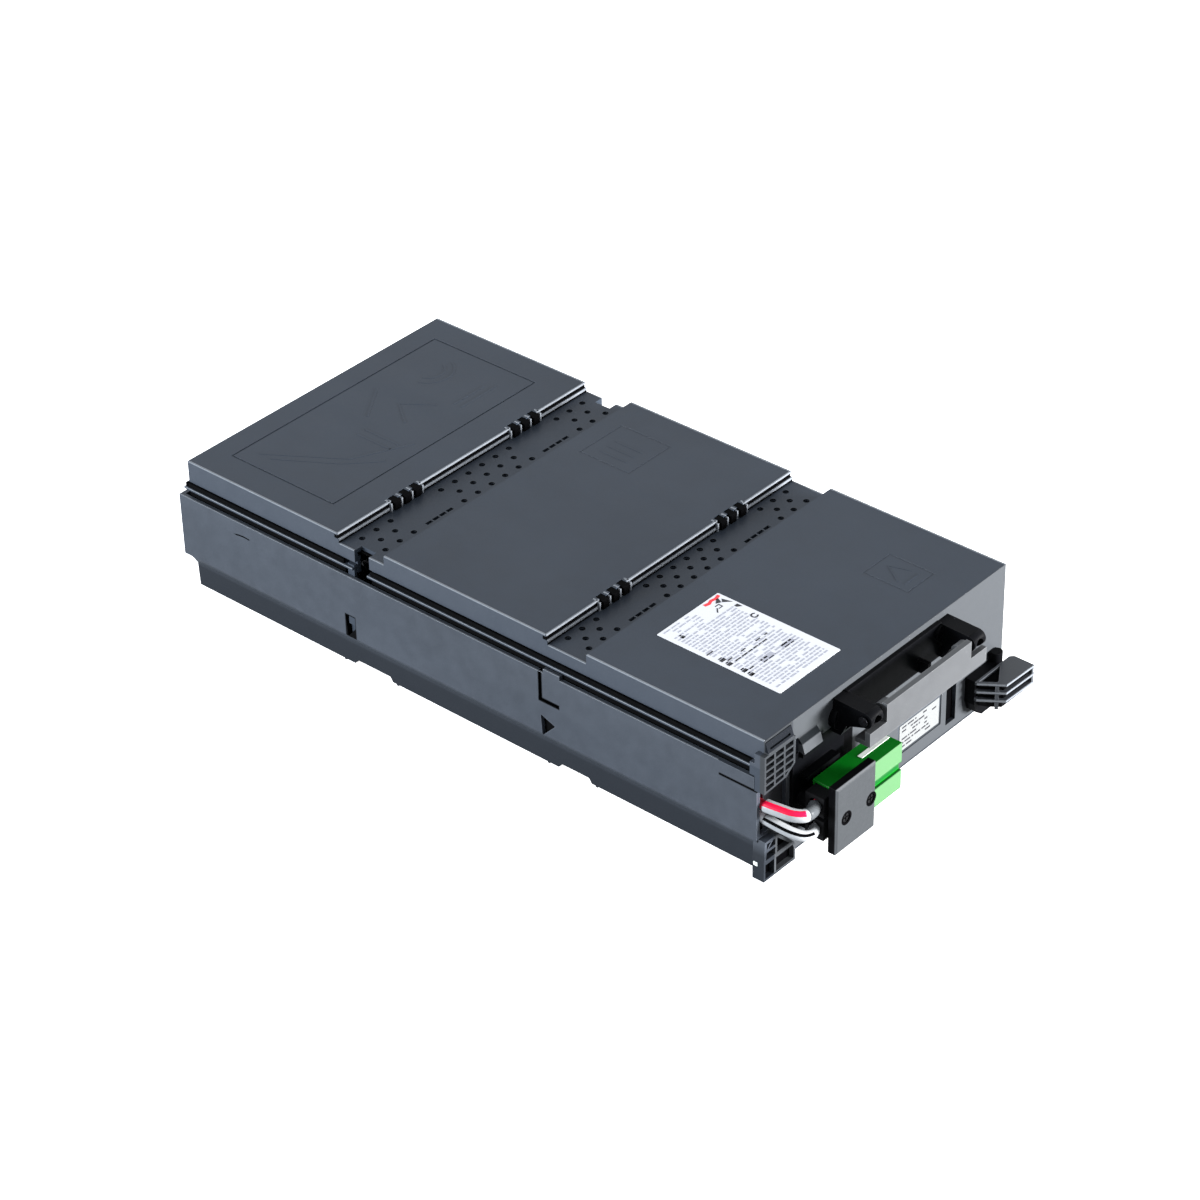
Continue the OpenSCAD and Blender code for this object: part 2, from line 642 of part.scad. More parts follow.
// Rubber collars where the leads enter the connector
module lead_grommets() {
    mid_y = plug_y + plug_t / 2;
    color("black") for (z = pole_z) difference() {
        span([plug_x, plug_y + 2, z - 5.6], [plug_x + grommet_l - 0.05, plug_y + plug_t - 2, z + 5.6]);
        rod_x([plug_x, mid_y, z], 3.5, 3 * grommet_l);
        rod_y([clamp_x[0], plug_y, plug_z], clamp_r + 0.15, plug_t);
    }
}

module connector_contacts() {
    end_x = plug_x + plug_l;
    mid_y = plug_y + plug_t / 2;
    color("silver") for (z = pole_z) {
        span([end_x - 20, mid_y + 1.8, z - 4], [end_x - 5, mid_y + 3.4, z + 4]);
        difference() {
            rod_x([end_x - 32, mid_y, z], 3.4, 24);
            rod_x([end_x - 38, mid_y, z], lead_d / 2 + 0.05, 22);
        }
    }
}

module connector_bracket() {
    back_y = plug_y + plug_t;
    plate_y = front_y - 1.9;
    color("black") difference() {
        union() {
            span([bracket_x[0], plate_y, 15], [bracket_x[1], front_y, bracket_top_z]);
            for (x = clamp_x) rod_y([x, back_y, plug_z], 4.6, front_y - back_y);
            for (z = [15, 44.8]) span([-68, back_y + 1, z], [-44, front_y, z + 2]);
            span([-57.4, back_y + 1, 15], [-55, front_y, 46]);
            // Catch under the cover's latch tab
            span([latch_x[0] + 1.5, -cover_y - 2, 55.8], [latch_x[1] - 1.5, front_y, 59.2]);
        }
        for (x = clamp_x) rod_y([x, back_y - 1, plug_z], clamp_r + 0.05, 8);
    }
}

module clamp_plate() {
    low = [plate_x, plug_y - plate_size[1], plug_z - 18.5];
    high = low + plate_size;
    edge = 0.9;
    color("dimgray") difference() {
        // Bevelled along the four front edges
        intersection() {
            extrude_x(low[0], high[0])
                polygon([[high[1], low[2]], [high[1], high[2]], [low[1] + edge, high[2]],
                         [low[1], high[2] - edge], [low[1], low[2] + edge],
                         [low[1] + edge, low[2]]]);
            extrude_z([[low[0], high[1]], [high[0], high[1]], [high[0], low[1] + edge],
                       [high[0] - edge, low[1]], [low[0] + edge, low[1]],
                       [low[0], low[1] + edge]], low[2] - 1, high[2] + 1);
        }
        for (x = clamp_x) {
            rod_y([x, low[1] - 1, plug_z], clamp_r + 0.15, plate_size[1] + 2);
            rod_y([x, low[1] - 1, plug_z], 3.5, 3.5);
        }
    }
}

module clamp_screws() {
    head_y = plug_y - plate_size[1] + 2.4;
    color("darkslategray") for (x = clamp_x) difference() {
        union() {
            rod_y([x, head_y, plug_z], clamp_r, 22);
            rod_y([x, head_y - 1.9, plug_z], 3.1, 2);
        }
        span([x - 2.1, head_y - 3, plug_z - 0.45], [x + 2.1, head_y - 1, plug_z + 0.45]);
        span([x - 0.45, head_y - 3, plug_z - 2.1], [x + 0.45, head_y - 1, plug_z + 2.1]);
    }
}

// ---------------------------------------------------------------- batteries

// Places a shape drawn for one block: X across, Y towards the terminals, Z up
module at_block(index) {
    row = floor(index / 2);
    x = (index % 2 == 0 ? -1 : 1) * (block_w / 2 + 0.3);
    translate([x, block_rows[row][0], block_z])
        mirror([0, block_rows[row][1] < 0 ? 1 : 0, 0]) children();
}

// Repeats a shape over the six cells of a block, in the centre of each cell
module in_cells() {
    cell_w = (block_w - 2 * cell_wall - 2 * cell_mid_wall) / 3;
    cell_t = (block_t - 2 * cell_wall - cell_mid_wall) / 2;
    for (i = [-1 : 1], k = [0, 1])
        translate([i * (cell_w + cell_mid_wall), 0, cell_wall + cell_t / 2 + k * (cell_t + cell_mid_wall)])
            children();
}

module battery(index) {
    cell_w = (block_w - 2 * cell_wall - 2 * cell_mid_wall) / 3;
    cell_t = (block_t - 2 * cell_wall - cell_mid_wall) / 2;
    color("darkgray") at_block(index) difference() {
        span([-block_w / 2, 0, 0], [block_w / 2, block_l - lid_t, block_t]);
        in_cells() translate([-cell_w / 2, 2.2, -cell_t / 2]) cube([cell_w, block_l, cell_t]);
    }
}

module battery_lids() {
    color("gray") for (index = [0 : 5]) at_block(index) difference() {
        span([-block_w / 2, block_l - lid_t, 0], [block_w / 2, block_l, block_t]);
        span([-30, block_l - 2, 12], [30, block_l + 1, 50]);
        in_cells() rod_y([0, block_l - lid_t - 1, 0], 3, lid_t + 2, 24);
    }
}

module vent_covers() {
    color("darkgray") for (index = [0 : 5]) at_block(index) difference() {
        span([-29.8, block_l - 1.2, 12.2], [29.8, block_l, 49.8]);
        for (x = [-24, 24]) span([x - 2, block_l - 0.5, 20], [x + 2, block_l + 1, 42]);
    }
}

module valve_caps() {
    color("black") for (index = [0 : 5]) at_block(index) in_cells()
        rod_y([0, block_l - 5.4, 0], 2.9, 3.2, 24);
}

module cell_stacks() {
    color("slategray") for (index = [0 : 5]) at_block(index) in_cells()
        translate([-12.6, 4, -14.6]) cube([25.2, 78, 29.2]);
}

// Repeats a shape at the two terminals of a block
module at_terminals() {
    for (side = [-1, 1]) translate([side * tab_x, block_l, tab_z]) children();
}

module terminal_tabs() {
    color("gold") for (index = [0 : 5]) at_block(index) at_terminals()
        translate([-tab_size[0] / 2, 0, -tab_size[2] / 2]) cube(tab_size);
}

// Flag receptacles: the barrel lies across the tab and points the way given for each terminal
barrel_side = [[1, 1], [1, -1], [1, -1], [1, 1], [1, -1], [-1, 1]];

module receptacle(side) {
    difference() {
        union() {
            translate([-4.2, 0.4, -1.5]) cube([8.4, 7.4, 3]);
            rod_x([side * 5.2, 3.5, 0], 2.6, 4);
        }
        rod_x([side * 6.6, 3.5, 0], jumper_d / 2 + 0.12, 4);
        translate([-tab_size[0] / 2 - 0.1, -1, -tab_size[2] / 2 - 0.05])
            cube([tab_size[0] + 0.2, tab_size[1] + 1.2, tab_size[2] + 0.1]);
    }
}

module tab_receptacles() {
    color("silver") for (index = [0 : 5]) at_block(index)
        for (k = [0, 1]) translate([(2 * k - 1) * tab_x, block_l, tab_z])
            receptacle(barrel_side[index][k]);
}

module jumper_wires() {
    color("black") for (route = jumper_routes) swept_tube(route, jumper_d, 3, 8);
}

// ---------------------------------------------------------------- leads and fuse

module positive_lead() {
    color("crimson") swept_tube(positive_route, lead_d, 4, 10);
}

module negative_lead() {
    color("whitesmoke") swept_tube(negative_route, lead_d, 4, 10);
}

// Hollow sleeve over the first stretch of a lead
module sleeve(route) {
    color("white") difference() {
        intersection() {
            swept_tube(route, sleeve_d, 4, 10);
            span([-100, -215, 10], [plug_x - 0.2, front_y - 0.1, 60]);
        }
        swept_tube(route, lead_d + 0.2, 4, 10);
    }
}

module positive_sleeve() {
    sleeve(positive_route);
}

module negative_sleeve() {
    sleeve(negative_route);
}

module fuse_holder() {
    color("black") difference() {
        rod_x([fuse_x, fuse_y, fuse_z], fuse_r, 40);
        rod_x([fuse_x, fuse_y, fuse_z], fuse_r - 1.3, 36);
        rod_x([fuse_x, fuse_y, fuse_z], lead_d / 2 + 0.1, 60);
    }
}

module fuse_link() {
    color("silver") {
        rod_x([fuse_x, fuse_y, fuse_z], 3.2, 24);
        for (side = [-1, 1]) rod_x([fuse_x + side * 13, fuse_y, fuse_z], 5, 7);
    }
}

module foam_pads() {
    pad_z = [block_z + block_t, case_h - wall];
    color("black") for (row = block_rows, side = [-1, 1])
        span([side * 45 - 38, row[0] + row[1] * 50 - 42, pad_z[0]],
             [side * 45 + 38, row[0] + row[1] * 50 + 42, pad_z[1]]);
}

// ---------------------------------------------------------------- labels

module top_label() {
    color("white") span([-61, -174, case_h], [-14.6, -98, case_h + 0.2]);
}

module front_label() {
    color("white") span([13.6, front_y + 0.3, 10], [46, front_y + 0.5, 25.6]);
}

tray();
top_cover();
handle_frame();
handle_grip();
hinge_pins();
frame_screws();
guide_ear();
ear_base();
connector_housing();
lead_grommets();
connector_contacts();
connector_bracket();
clamp_plate();
clamp_screws();
battery(0);  // battery_1
battery(1);  // battery_2
battery(2);  // battery_3
battery(3);  // battery_4
battery(4);  // battery_5
battery(5);  // battery_6
battery_lids();
vent_covers();
valve_caps();
cell_stacks();
terminal_tabs();
tab_receptacles();
jumper_wires();
positive_lead();
negative_lead();
positive_sleeve();
negative_sleeve();
fuse_holder();
fuse_link();
foam_pads();
top_label();
front_label();
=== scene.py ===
"""Looks of the slide-in battery cartridge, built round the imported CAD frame. Lengths in metres."""
import math
import random

import bmesh
import bpy
from mathutils import Matrix, Vector


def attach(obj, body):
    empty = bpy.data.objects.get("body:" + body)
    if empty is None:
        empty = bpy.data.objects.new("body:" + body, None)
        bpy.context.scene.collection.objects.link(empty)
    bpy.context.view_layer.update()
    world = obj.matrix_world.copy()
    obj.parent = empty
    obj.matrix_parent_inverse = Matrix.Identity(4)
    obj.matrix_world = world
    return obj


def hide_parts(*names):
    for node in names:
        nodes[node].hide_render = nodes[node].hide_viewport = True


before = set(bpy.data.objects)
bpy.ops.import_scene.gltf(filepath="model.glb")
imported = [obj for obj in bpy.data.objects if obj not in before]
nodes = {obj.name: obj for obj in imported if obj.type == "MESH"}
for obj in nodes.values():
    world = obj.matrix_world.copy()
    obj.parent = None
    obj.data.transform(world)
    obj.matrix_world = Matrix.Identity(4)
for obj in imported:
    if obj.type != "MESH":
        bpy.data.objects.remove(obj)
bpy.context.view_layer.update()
scene = bpy.context.scene

MM = 0.001
# Beyond every part of the object, in millimetres
FAR = 999


# ------------------------------------------------------------------ camera, light and floor

def make_camera():
    """The photograph's view, from a fit of the case's corners."""
    target = Vector((0.03196, 0.02070, 0))
    distance = 1.94263
    azimuth, elevation, roll = (math.radians(a) for a in (-48.332, 34.391, -1.33))
    back = Vector((math.sin(azimuth) * math.cos(elevation),
                   -math.cos(azimuth) * math.cos(elevation), math.sin(elevation)))
    right = (-back).cross(Vector((0, 0, 1))).normalized()
    up = right.cross(-back)
    c, s = math.cos(roll), math.sin(roll)
    turned_right = right * c + up * s
    turned_up = up * c - right * s
    data = bpy.data.cameras.new("camera")
    data.lens = 110.6
    data.sensor_width = 36
    data.clip_start, data.clip_end = 0.05, 60
    cam = bpy.data.objects.new("camera", data)
    scene.collection.objects.link(cam)
    basis = Matrix((turned_right, turned_up, back)).transposed()
    cam.matrix_world = Matrix.Translation(target + back * distance) @ basis.to_4x4()
    scene.camera = cam


def area_light(name, place, aim, size, power, colour=(1, 1, 1)):
    """A soft box at a place, facing the aim point."""
    data = bpy.data.lights.new(name, "AREA")
    data.shape = "RECTANGLE"
    data.size, data.size_y = size
    data.energy = power
    data.color = colour
    lamp = bpy.data.objects.new(name, data)
    scene.collection.objects.link(lamp)
    lamp.location = place
    lamp.rotation_mode = "QUATERNION"
    lamp.rotation_quaternion = (Vector(aim) - Vector(place)).to_track_quat("-Z", "Y")
    return lamp


def make_studio():
    world = bpy.data.worlds.new("studio")
    scene.world = world
    world.use_nodes = True
    background = world.node_tree.nodes["Background"]
    background.inputs["Color"].default_value = (0.93, 0.96, 1.0, 1)
    background.inputs["Strength"].default_value = 0.9
    key = area_light("key_front", (1.15, -2.2, 0.22), (0, -0.1, 0.04), (1.0, 0.4), 430,
                     (1, 0.99, 0.98))
    key.visible_glossy = False
    area_light("key_shine", (1.6, -1.9, 0.5), (0, -0.1, 0.04), (1.6, 0.9), 40, (1, 0.99, 0.98))
    area_light("fill_left", (-2.2, 1.0, 0.55), (0, 0.1, 0.05), (1.2, 0.5), 150, (0.88, 0.94, 1.0))
    bpy.ops.mesh.primitive_plane_add(size=30, location=(0, 0, 0))
    floor = bpy.context.active_object
    floor.name = "floor"
    mat = bpy.data.materials.new("floor_paper")
    mat.use_nodes = True
    shader = mat.node_tree.nodes["Principled BSDF"]
    # Seen white, as in a cut-out picture, but it throws only a grey table's light back at the walls
    path = mat.node_tree.nodes.new("ShaderNodeLightPath")
    tone = mat.node_tree.nodes.new("ShaderNodeMix")
    tone.data_type = "RGBA"
    tone.inputs[6].default_value = (0.36, 0.37, 0.38, 1)
    tone.inputs[7].default_value = (0.98, 0.98, 0.98, 1)
    mat.node_tree.links.new(path.outputs["Is Camera Ray"], tone.inputs[0])
    mat.node_tree.links.new(tone.outputs[2], shader.inputs["Base Color"])
    shader.inputs["Emission Color"].default_value = (1, 1, 1, 1)
    mat.node_tree.links.new(path.outputs["Is Camera Ray"], shader.inputs["Emission Strength"])
    shader.inputs["Roughness"].default_value = 0.9
    shader.inputs["Specular IOR Level"].default_value = 0.1
    floor.data.materials.append(mat)
    scene.view_settings.view_transform = "Standard"


# ------------------------------------------------------------------ materials

class Graph:
    """Short way to write a material's nodes."""

    def __init__(self, name):
        self.mat = bpy.data.materials.new(name)
        self.mat.use_nodes = True
        self.tree = self.mat.node_tree
        self.shader = self.tree.nodes["Principled BSDF"]
        self.place = self.add("ShaderNodeTexCoord").outputs["Object"]
        self.axes = self.add("ShaderNodeSeparateXYZ")
        self.link(self.place, self.axes.inputs[0])

    def add(self, kind, **values):
        node = self.tree.nodes.new(kind)
        for key, value in values.items():
            setattr(node, key, value)
        return node

    def link(self, source, target):
        self.tree.links.new(source, target)
        return source

    def scaled(self, scale):
        """Object coordinates times a size on each axis."""
        node = self.add("ShaderNodeMapping")
        node.inputs["Scale"].default_value = scale
        self.link(self.place, node.inputs["Vector"])
        return node.outputs["Vector"]

    def noise(self, scale, detail=3.0, rough=0.5, place=None):
        node = self.add("ShaderNodeTexNoise")
        node.inputs["Scale"].default_value = scale
        node.inputs["Detail"].default_value = detail
        node.inputs["Roughness"].default_value = rough
        self.link(place or self.place, node.inputs["Vector"])
        return node.outputs["Fac"]

    def spread(self, value, low, high, out_low=0.0, out_high=1.0):
        node = self.add("ShaderNodeMapRange")
        for key, number in (("From Min", low), ("From Max", high), ("To Min", out_low),
                            ("To Max", out_high)):
            node.inputs[key].default_value = number
        self.link(value, node.inputs["Value"])
        return node.outputs["Result"]

    def math(self, operation, a, b=0.5):
        node = self.add("ShaderNodeMath", operation=operation)
        for socket, value in zip(node.inputs, (a, b)):
            if isinstance(value, (int, float)):
                socket.default_value = value
            else:
                self.link(value, socket)
        return node.outputs["Value"]

    def mix(self, factor, a, b):
        node = self.add("ShaderNodeMix", data_type="RGBA")
        for socket, value in zip((node.inputs[0], node.inputs[6], node.inputs[7]), (factor, a, b)):
            if isinstance(value, tuple):
                socket.default_value = (*value, 1)
            elif isinstance(value, (int, float)):
                socket.default_value = value
            else:
                self.link(value, socket)
        return node.outputs[2]

    def edges(self, radius):
        """1 on sharp edges and 0 on flat faces."""
        bevel = self.add("ShaderNodeBevel", samples=6)
        bevel.inputs["Radius"].default_value = radius
        true_normal = self.add("ShaderNodeNewGeometry").outputs["Normal"]
        dot = self.add("ShaderNodeVectorMath", operation="DOT_PRODUCT")
        self.link(bevel.outputs["Normal"], dot.inputs[0])
        self.link(true_normal, dot.inputs[1])
        return self.spread(dot.outputs["Value"], 0.995, 0.8)

    def along(self, axis, low, high, soft=0.0003):
        """1 where the object coordinate lies between low and high, in millimetres."""
        value = self.axes.outputs[axis]
        rise = self.spread(value, low * MM - soft, low * MM + soft)
        fall = self.spread(value, high * MM - soft, high * MM + soft, 1, 0)
        return self.math("MULTIPLY", rise, fall)

    def painted(self, shade, specular, zones):
        """Colours the zones. Each is (low corner, high corner, colour), in millimetres, with None
        for an open side; the darkest zones turn dull."""
        for low, high, tone in zones:
            mask = None
            for axis, start, stop in zip("XYZ", low, high):
                if start is not None or stop is not None:
                    part = self.along(axis, -FAR if start is None else start,
                                      FAR if stop is None else stop)
                    mask = part if mask is None else self.math("MULTIPLY", mask, part)
            shade = self.mix(mask, shade, tone)
            if max(tone) < 0.02:
                keep = self.math("SUBTRACT", 1.0, self.math("MULTIPLY", mask, 0.9))
                specular = self.math("MULTIPLY", keep, specular)
        self.to("Base Color", shade)
        self.to("Specular IOR Level", specular)

    def bump(self, height, strength, distance):
        node = self.add("ShaderNodeBump")
        node.inputs["Strength"].default_value = strength
        node.inputs["Distance"].default_value = distance
        self.link(height, node.inputs["Height"])
        self.link(node.outputs["Normal"], self.shader.inputs["Normal"])

    def to(self, socket, value):
        if isinstance(value, tuple):
            self.shader.inputs[socket].default_value = (*value, 1)
        elif isinstance(value, (int, float)):
            self.shader.inputs[socket].default_value = value
        else:
            self.link(value, self.shader.inputs[socket])


def shaded(colour, factor, lift=0.0):
    """The colour times a factor, no brighter than white."""
    return tuple(min(1.0, c * factor + lift) for c in colour)


def moulded_plastic(name, colour, rough=0.45, grain=1500.0, depth=0.00006, wear_and_highlight=0.5, specular=0.5,
                    zones=(), painted_shade_below=None):
    """Injection-moulded plastic: spark-eroded grain, faint flow marks, and edges lightened partly as
    rubbed wear and partly as painted highlights.
    The shade height is in millimetres; below it painted shade darkens the colour and lowers the
    specular."""
    g = Graph(name)
    cloud = g.noise(9.0, 4.0, 0.6)
    fine = g.noise(130.0, 3.0, 0.6)
    body = g.mix(g.spread(cloud, 0.3, 0.7), shaded(colour, 0.86), shaded(colour, 1.14))
    speck = g.mix(g.spread(fine, 0.35, 0.75, 0, 0.35), body, shaded(colour, 1.35))
    # Edges lightened: partly rubbed wear, partly painted highlight
    edge = g.math("MULTIPLY", g.edges(0.0007), wear_and_highlight)
    shade = g.mix(edge, speck, shaded(colour, 2.2, 0.05))
    # Painted shade: darker and less glossy towards the bottom
    if painted_shade_below:
        height = g.axes.outputs["Z"]
        low, high = (painted_shade_below - 5) * MM, (painted_shade_below + 1) * MM
        shade = g.mix(g.spread(height, low, high), shaded(colour, 0.42), shade)
        specular = g.spread(height, low, high, specular * 0.4, specular)
    g.painted(shade, specular, zones)
    streak = g.noise(40.0, 2.0, 0.5, g.scaled((1, 0.15, 1)))
    g.to("Roughness", g.spread(g.math("ADD", fine, streak), 0.6, 1.4, rough - 0.07, rough + 0.07))
    g.bump(g.noise(grain, 4.0, 0.65), 0.55, depth)
    return g.mat


def metal(name, colour, rough=0.3, brushed=(1, 1, 1)):
    """Bare metal with fine lines."""
    g = Graph(name)
    lines = g.noise(900.0, 3.0, 0.6, g.scaled(brushed))
    g.to("Metallic", 1.0)
    g.to("Base Color", g.mix(g.spread(lines, 0.3, 0.7), shaded(colour, 0.85), colour))
    g.to("Roughness", g.spread(lines, 0.3, 0.7, rough - 0.08, rough + 0.1))
    g.bump(lines, 0.3, 0.00003)
    return g.mat


def coated_metal(name, colour, rough=0.4, zones=(), wear_and_highlight=0.55):
    """Powder-coated sheet: orange-peel texture, and bare edges lightened partly as wear and partly
    as painted highlights.
    """
    g = Graph(name)
    peel = g.noise(420.0, 3.0, 0.5)
    fine = g.noise(1600.0, 2.0, 0.5)
    # Edges lightened: partly bare wear, partly painted highlight
    edge = g.math("MULTIPLY", g.edges(0.0008), wear_and_highlight)
    body = g.mix(g.spread(fine, 0.35, 0.7), shaded(colour, 0.9), shaded(colour, 1.2))
    shade = g.mix(edge, body, shaded(colour, 2.2, 0.1))
    g.painted(shade, 0.3, zones)
    g.to("Roughness", g.spread(peel, 0.3, 0.7, rough - 0.06, rough + 0.08))
    g.bump(g.math("ADD", peel, fine), 0.4, 0.00008)
    return g.mat


def rubbery(name, colour, rough=0.55, sheen=0.0, specular=0.5):
    """Soft plastic or rubber, slightly cloudy."""
    g = Graph(name)
    g.to("Specular IOR Level", specular)
    cloud = g.noise(60.0, 3.0, 0.6)
    g.to("Base Color", g.mix(g.spread(cloud, 0.3, 0.7), shaded(colour, 0.88),
                             shaded(colour, 1.08)))
    g.to("Roughness", g.spread(g.noise(300.0), 0.3, 0.7, rough - 0.08, rough + 0.08))
    g.bump(g.noise(900.0), 0.25, 0.00005)
    g.shader.inputs["Sheen Weight"].default_value = sheen
    return g.mat


def printed_paper(name, colour, rough=0.5):
    """Paper or print, with its fibres."""
    g = Graph(name)
    fibre = g.noise(700.0, 4.0, 0.7, g.scaled((1, 2.5, 1)))
    g.to("Base Color", g.mix(g.spread(fibre, 0.3, 0.7), shaded(colour, 0.95), colour))
    g.to("Roughness", g.spread(fibre, 0.3, 0.7, rough - 0.05, rough + 0.07))
    g.bump(fibre, 0.15, 0.00003)
    return g.mat


# Colours of the painted zones; the black one is painted shade
SHADE_BLACK = (0.0012, 0.0012, 0.0015)
# Lighter, less blue grey for the front walls: painted light from the front
LIT_FRONT_GREY = (0.034, 0.037, 0.041)


# Lighter, bluer tone for the cover's side walls: painted light
LIT_COVER_SIDE = (0.030, 0.036, 0.047)
CORNER_BLOCK = (0.020, 0.022, 0.025)
# Near black for the corner block's slanted top and the latch tab's front: painted shade
SHADED_CORNER_SLOPE = (0.006, 0.007, 0.009)
SHADED_TAB_SLOPE = (0.005, 0.006, 0.007)


def make_materials():
    return {
        # Front wall painted a lighter, less blue grey as painted light; black painted shade on a
        # patch by the bracket, round the finger slot, in the hook window and along the cover's seam
        "tray_plastic": moulded_plastic(
            "tray_plastic", (0.026, 0.031, 0.040), 0.46, specular=0.36, painted_shade_below=20,
            zones=(((-90, -196, 1), (None, -189.6, None), LIT_FRONT_GREY),
                   ((-34.5, -191, 28), (-25, -189, 62), SHADE_BLACK),
                   ((None, -55.9, 42.6), (None, -53.3, 60), SHADE_BLACK),
                   ((None, -66.9, 41.9), (None, -53.3, 44.6), SHADE_BLACK),
                   ((None, 71.4, 21.6), (None, 78.9, 35.9), SHADE_BLACK),
                   ((-99, -195, 51.1), (-96, -167, 52.6), SHADE_BLACK))),
        "cover_plastic": moulded_plastic(
            "cover_plastic", (0.019, 0.025, 0.035), 0.42, wear_and_highlight=0.0, specular=0.34,
            # Side walls and front face painted lighter as painted light, the corner block's front a
            # darker grey, and painted shade by the bracket, on the corner block's slanted top and on
            # the latch tab's front
            zones=(((None, None, 66), (-94.8, None, None), LIT_COVER_SIDE),
                   ((94.8, None, 66), (None, None, None), LIT_COVER_SIDE),
                   ((-74, -200, None), (None, -191.7, None), LIT_FRONT_GREY),
                   ((None, -200, None), (-74, -191.7, None), CORNER_BLOCK),
                   ((-34.5, -193, None), (-25, -189, 62), SHADE_BLACK),
                   ((-95.6, -194.7, 74.2), (-75.6, -192.3, 80), SHADED_CORNER_SLOPE),
                   ((-70.2, -196.5, 65.1), (-55.6, -192.15, 69), SHADED_TAB_SLOPE))),
        "ear_plastic": moulded_plastic("ear_plastic", (0.028, 0.031, 0.036), 0.4, wear_and_highlight=0.8,
                                       specular=0.4),
        # Light grey plastic for strips and bars that are painted highlights on edges
        "highlight_plastic": moulded_plastic("highlight_plastic", (0.105, 0.115, 0.13), 0.4, wear_and_highlight=0.1,
                                       specular=0.4),
        # Near-black rubber, used mostly for painted shade put in grooves, notches, seams, slots and
        # recesses
        "seal_rubber": rubbery("seal_rubber", (0.0008, 0.0008, 0.001), 0.8, specular=0.04),
        "grommet_rubber": rubbery("grommet_rubber", (0.002, 0.002, 0.0024), 0.6, specular=0.12),
        # Dark green for painted shade along the plug's groove
        "connector_groove_shade": moulded_plastic("connector_groove_shade", (0.006, 0.05, 0.010), 0.4,
                                          specular=0.2),
        "red_print": rubbery("red_print", (0.55, 0.004, 0.035), 0.4, specular=0.2),
        # Dark silver tape, its darkness partly painted shade
        "shaded_silver_tape": rubbery("shaded_silver_tape", (0.055, 0.06, 0.065), 0.25),
        # White for painted highlights
        "glint_white": rubbery("glint_white", (0.62, 0.66, 0.62), 0.35),
        "black_plastic": moulded_plastic("black_plastic", (0.0018, 0.0019, 0.0024), 0.34, wear_and_highlight=0.05,
                                         specular=0.055),
        "grip_plastic": moulded_plastic("grip_plastic", (0.043, 0.045, 0.048), 0.42, specular=0.36),
        "connector_plastic": moulded_plastic(
            "connector_plastic", (0.001, 0.115, 0.006), 0.34, 1100.0, 0.00003, 0.15, 0.18,
            # Front face painted a paler, washed-out green as painted light and reflection; the
            # groove's floor a darker green as painted shade
            zones=(((None, -214, None), (None, -212.85, None), (0.068, 0.118, 0.068)),
                   ((-45, -214, 28.9), (-14, -211.2, 33.1), (0.006, 0.05, 0.012)))),
        "plate_paint": coated_metal(
            "plate_paint", (0.016, 0.018, 0.020), 0.42,
            # The plate's sides painted black as painted shade, and a lighter band on the front
            # edge's chamfer as a painted highlight
            zones=(((None, -217.05, None), (None, -212, None), SHADE_BLACK),
                   ((None, -217.85, None), (None, -217.05, None), (0.05, 0.053, 0.058)))),
        "dark_steel": coated_metal("dark_steel", (0.003, 0.003, 0.0035), 0.3, wear_and_highlight=0.03),
        "pin_steel": metal("pin_steel", (0.035, 0.035, 0.04), 0.34, (0.2, 1, 1)),
        "contact_metal": metal("contact_metal", (0.78, 0.76, 0.72), 0.25),
        "receptacle_steel": metal("receptacle_steel", (0.70, 0.70, 0.70), 0.35),
        "tab_brass": metal("tab_brass", (0.75, 0.62, 0.38), 0.35),
        "block_plastic": moulded_plastic("block_plastic", (0.010, 0.010, 0.012), 0.5),
        "valve_rubber": rubbery("valve_rubber", (0.02, 0.02, 0.02)),
        "cell_lead": metal("cell_lead", (0.28, 0.29, 0.31), 0.6),
        "black_insulation": rubbery("black_insulation", (0.018, 0.018, 0.02), 0.4),
        "red_insulation": rubbery("red_insulation", (0.55, 0.012, 0.035), 0.35),
        "grey_insulation": rubbery("grey_insulation", (0.55, 0.57, 0.60), 0.32),
        "white_sleeve": rubbery("white_sleeve", (0.24, 0.25, 0.26), 0.36, specular=0.3),
        "foam": rubbery("foam", (0.03, 0.03, 0.03), 0.9, 0.3),
        "label_dim": printed_paper("label_dim", (0.125, 0.13, 0.132)),
        "label_paper": printed_paper("label_paper", (0.56, 0.57, 0.60)),
        "ink_grey": printed_paper("ink_grey", (0.30, 0.31, 0.36)),
        "ink_black": printed_paper("ink_black", (0.02, 0.02, 0.024)),
        "ink_red": printed_paper("ink_red", (0.62, 0.03, 0.04)),
    }


NODE_MATERIALS = {
    "tray": "tray_plastic", "top_cover": "cover_plastic", "handle_frame": "black_plastic",
    "handle_grip": "grip_plastic", "hinge_pins": "pin_steel", "frame_screws": "dark_steel",
    "guide_ear": "ear_plastic", "ear_base": "black_plastic",
    "connector_housing": "connector_plastic",
    "lead_grommets": "grommet_rubber",
    "connector_contacts": "contact_metal", "connector_bracket": "black_plastic",
    "clamp_plate": "plate_paint", "clamp_screws": "dark_steel", "battery_1": "block_plastic",
    "battery_2": "block_plastic", "battery_3": "block_plastic", "battery_4": "block_plastic",
    "battery_5": "block_plastic", "battery_6": "block_plastic", "battery_lids": "block_plastic",
    "vent_covers": "block_plastic", "valve_caps": "valve_rubber", "cell_stacks": "cell_lead",
    "terminal_tabs": "tab_brass", "tab_receptacles": "receptacle_steel",
    "jumper_wires": "black_insulation", "positive_lead": "red_insulation",
    "negative_lead": "grey_insulation", "positive_sleeve": "white_sleeve",
    "negative_sleeve": "white_sleeve", "fuse_holder": "black_plastic",
    "fuse_link": "receptacle_steel", "foam_pads": "foam", "top_label": "label_paper",
    "front_label": "label_paper",
}

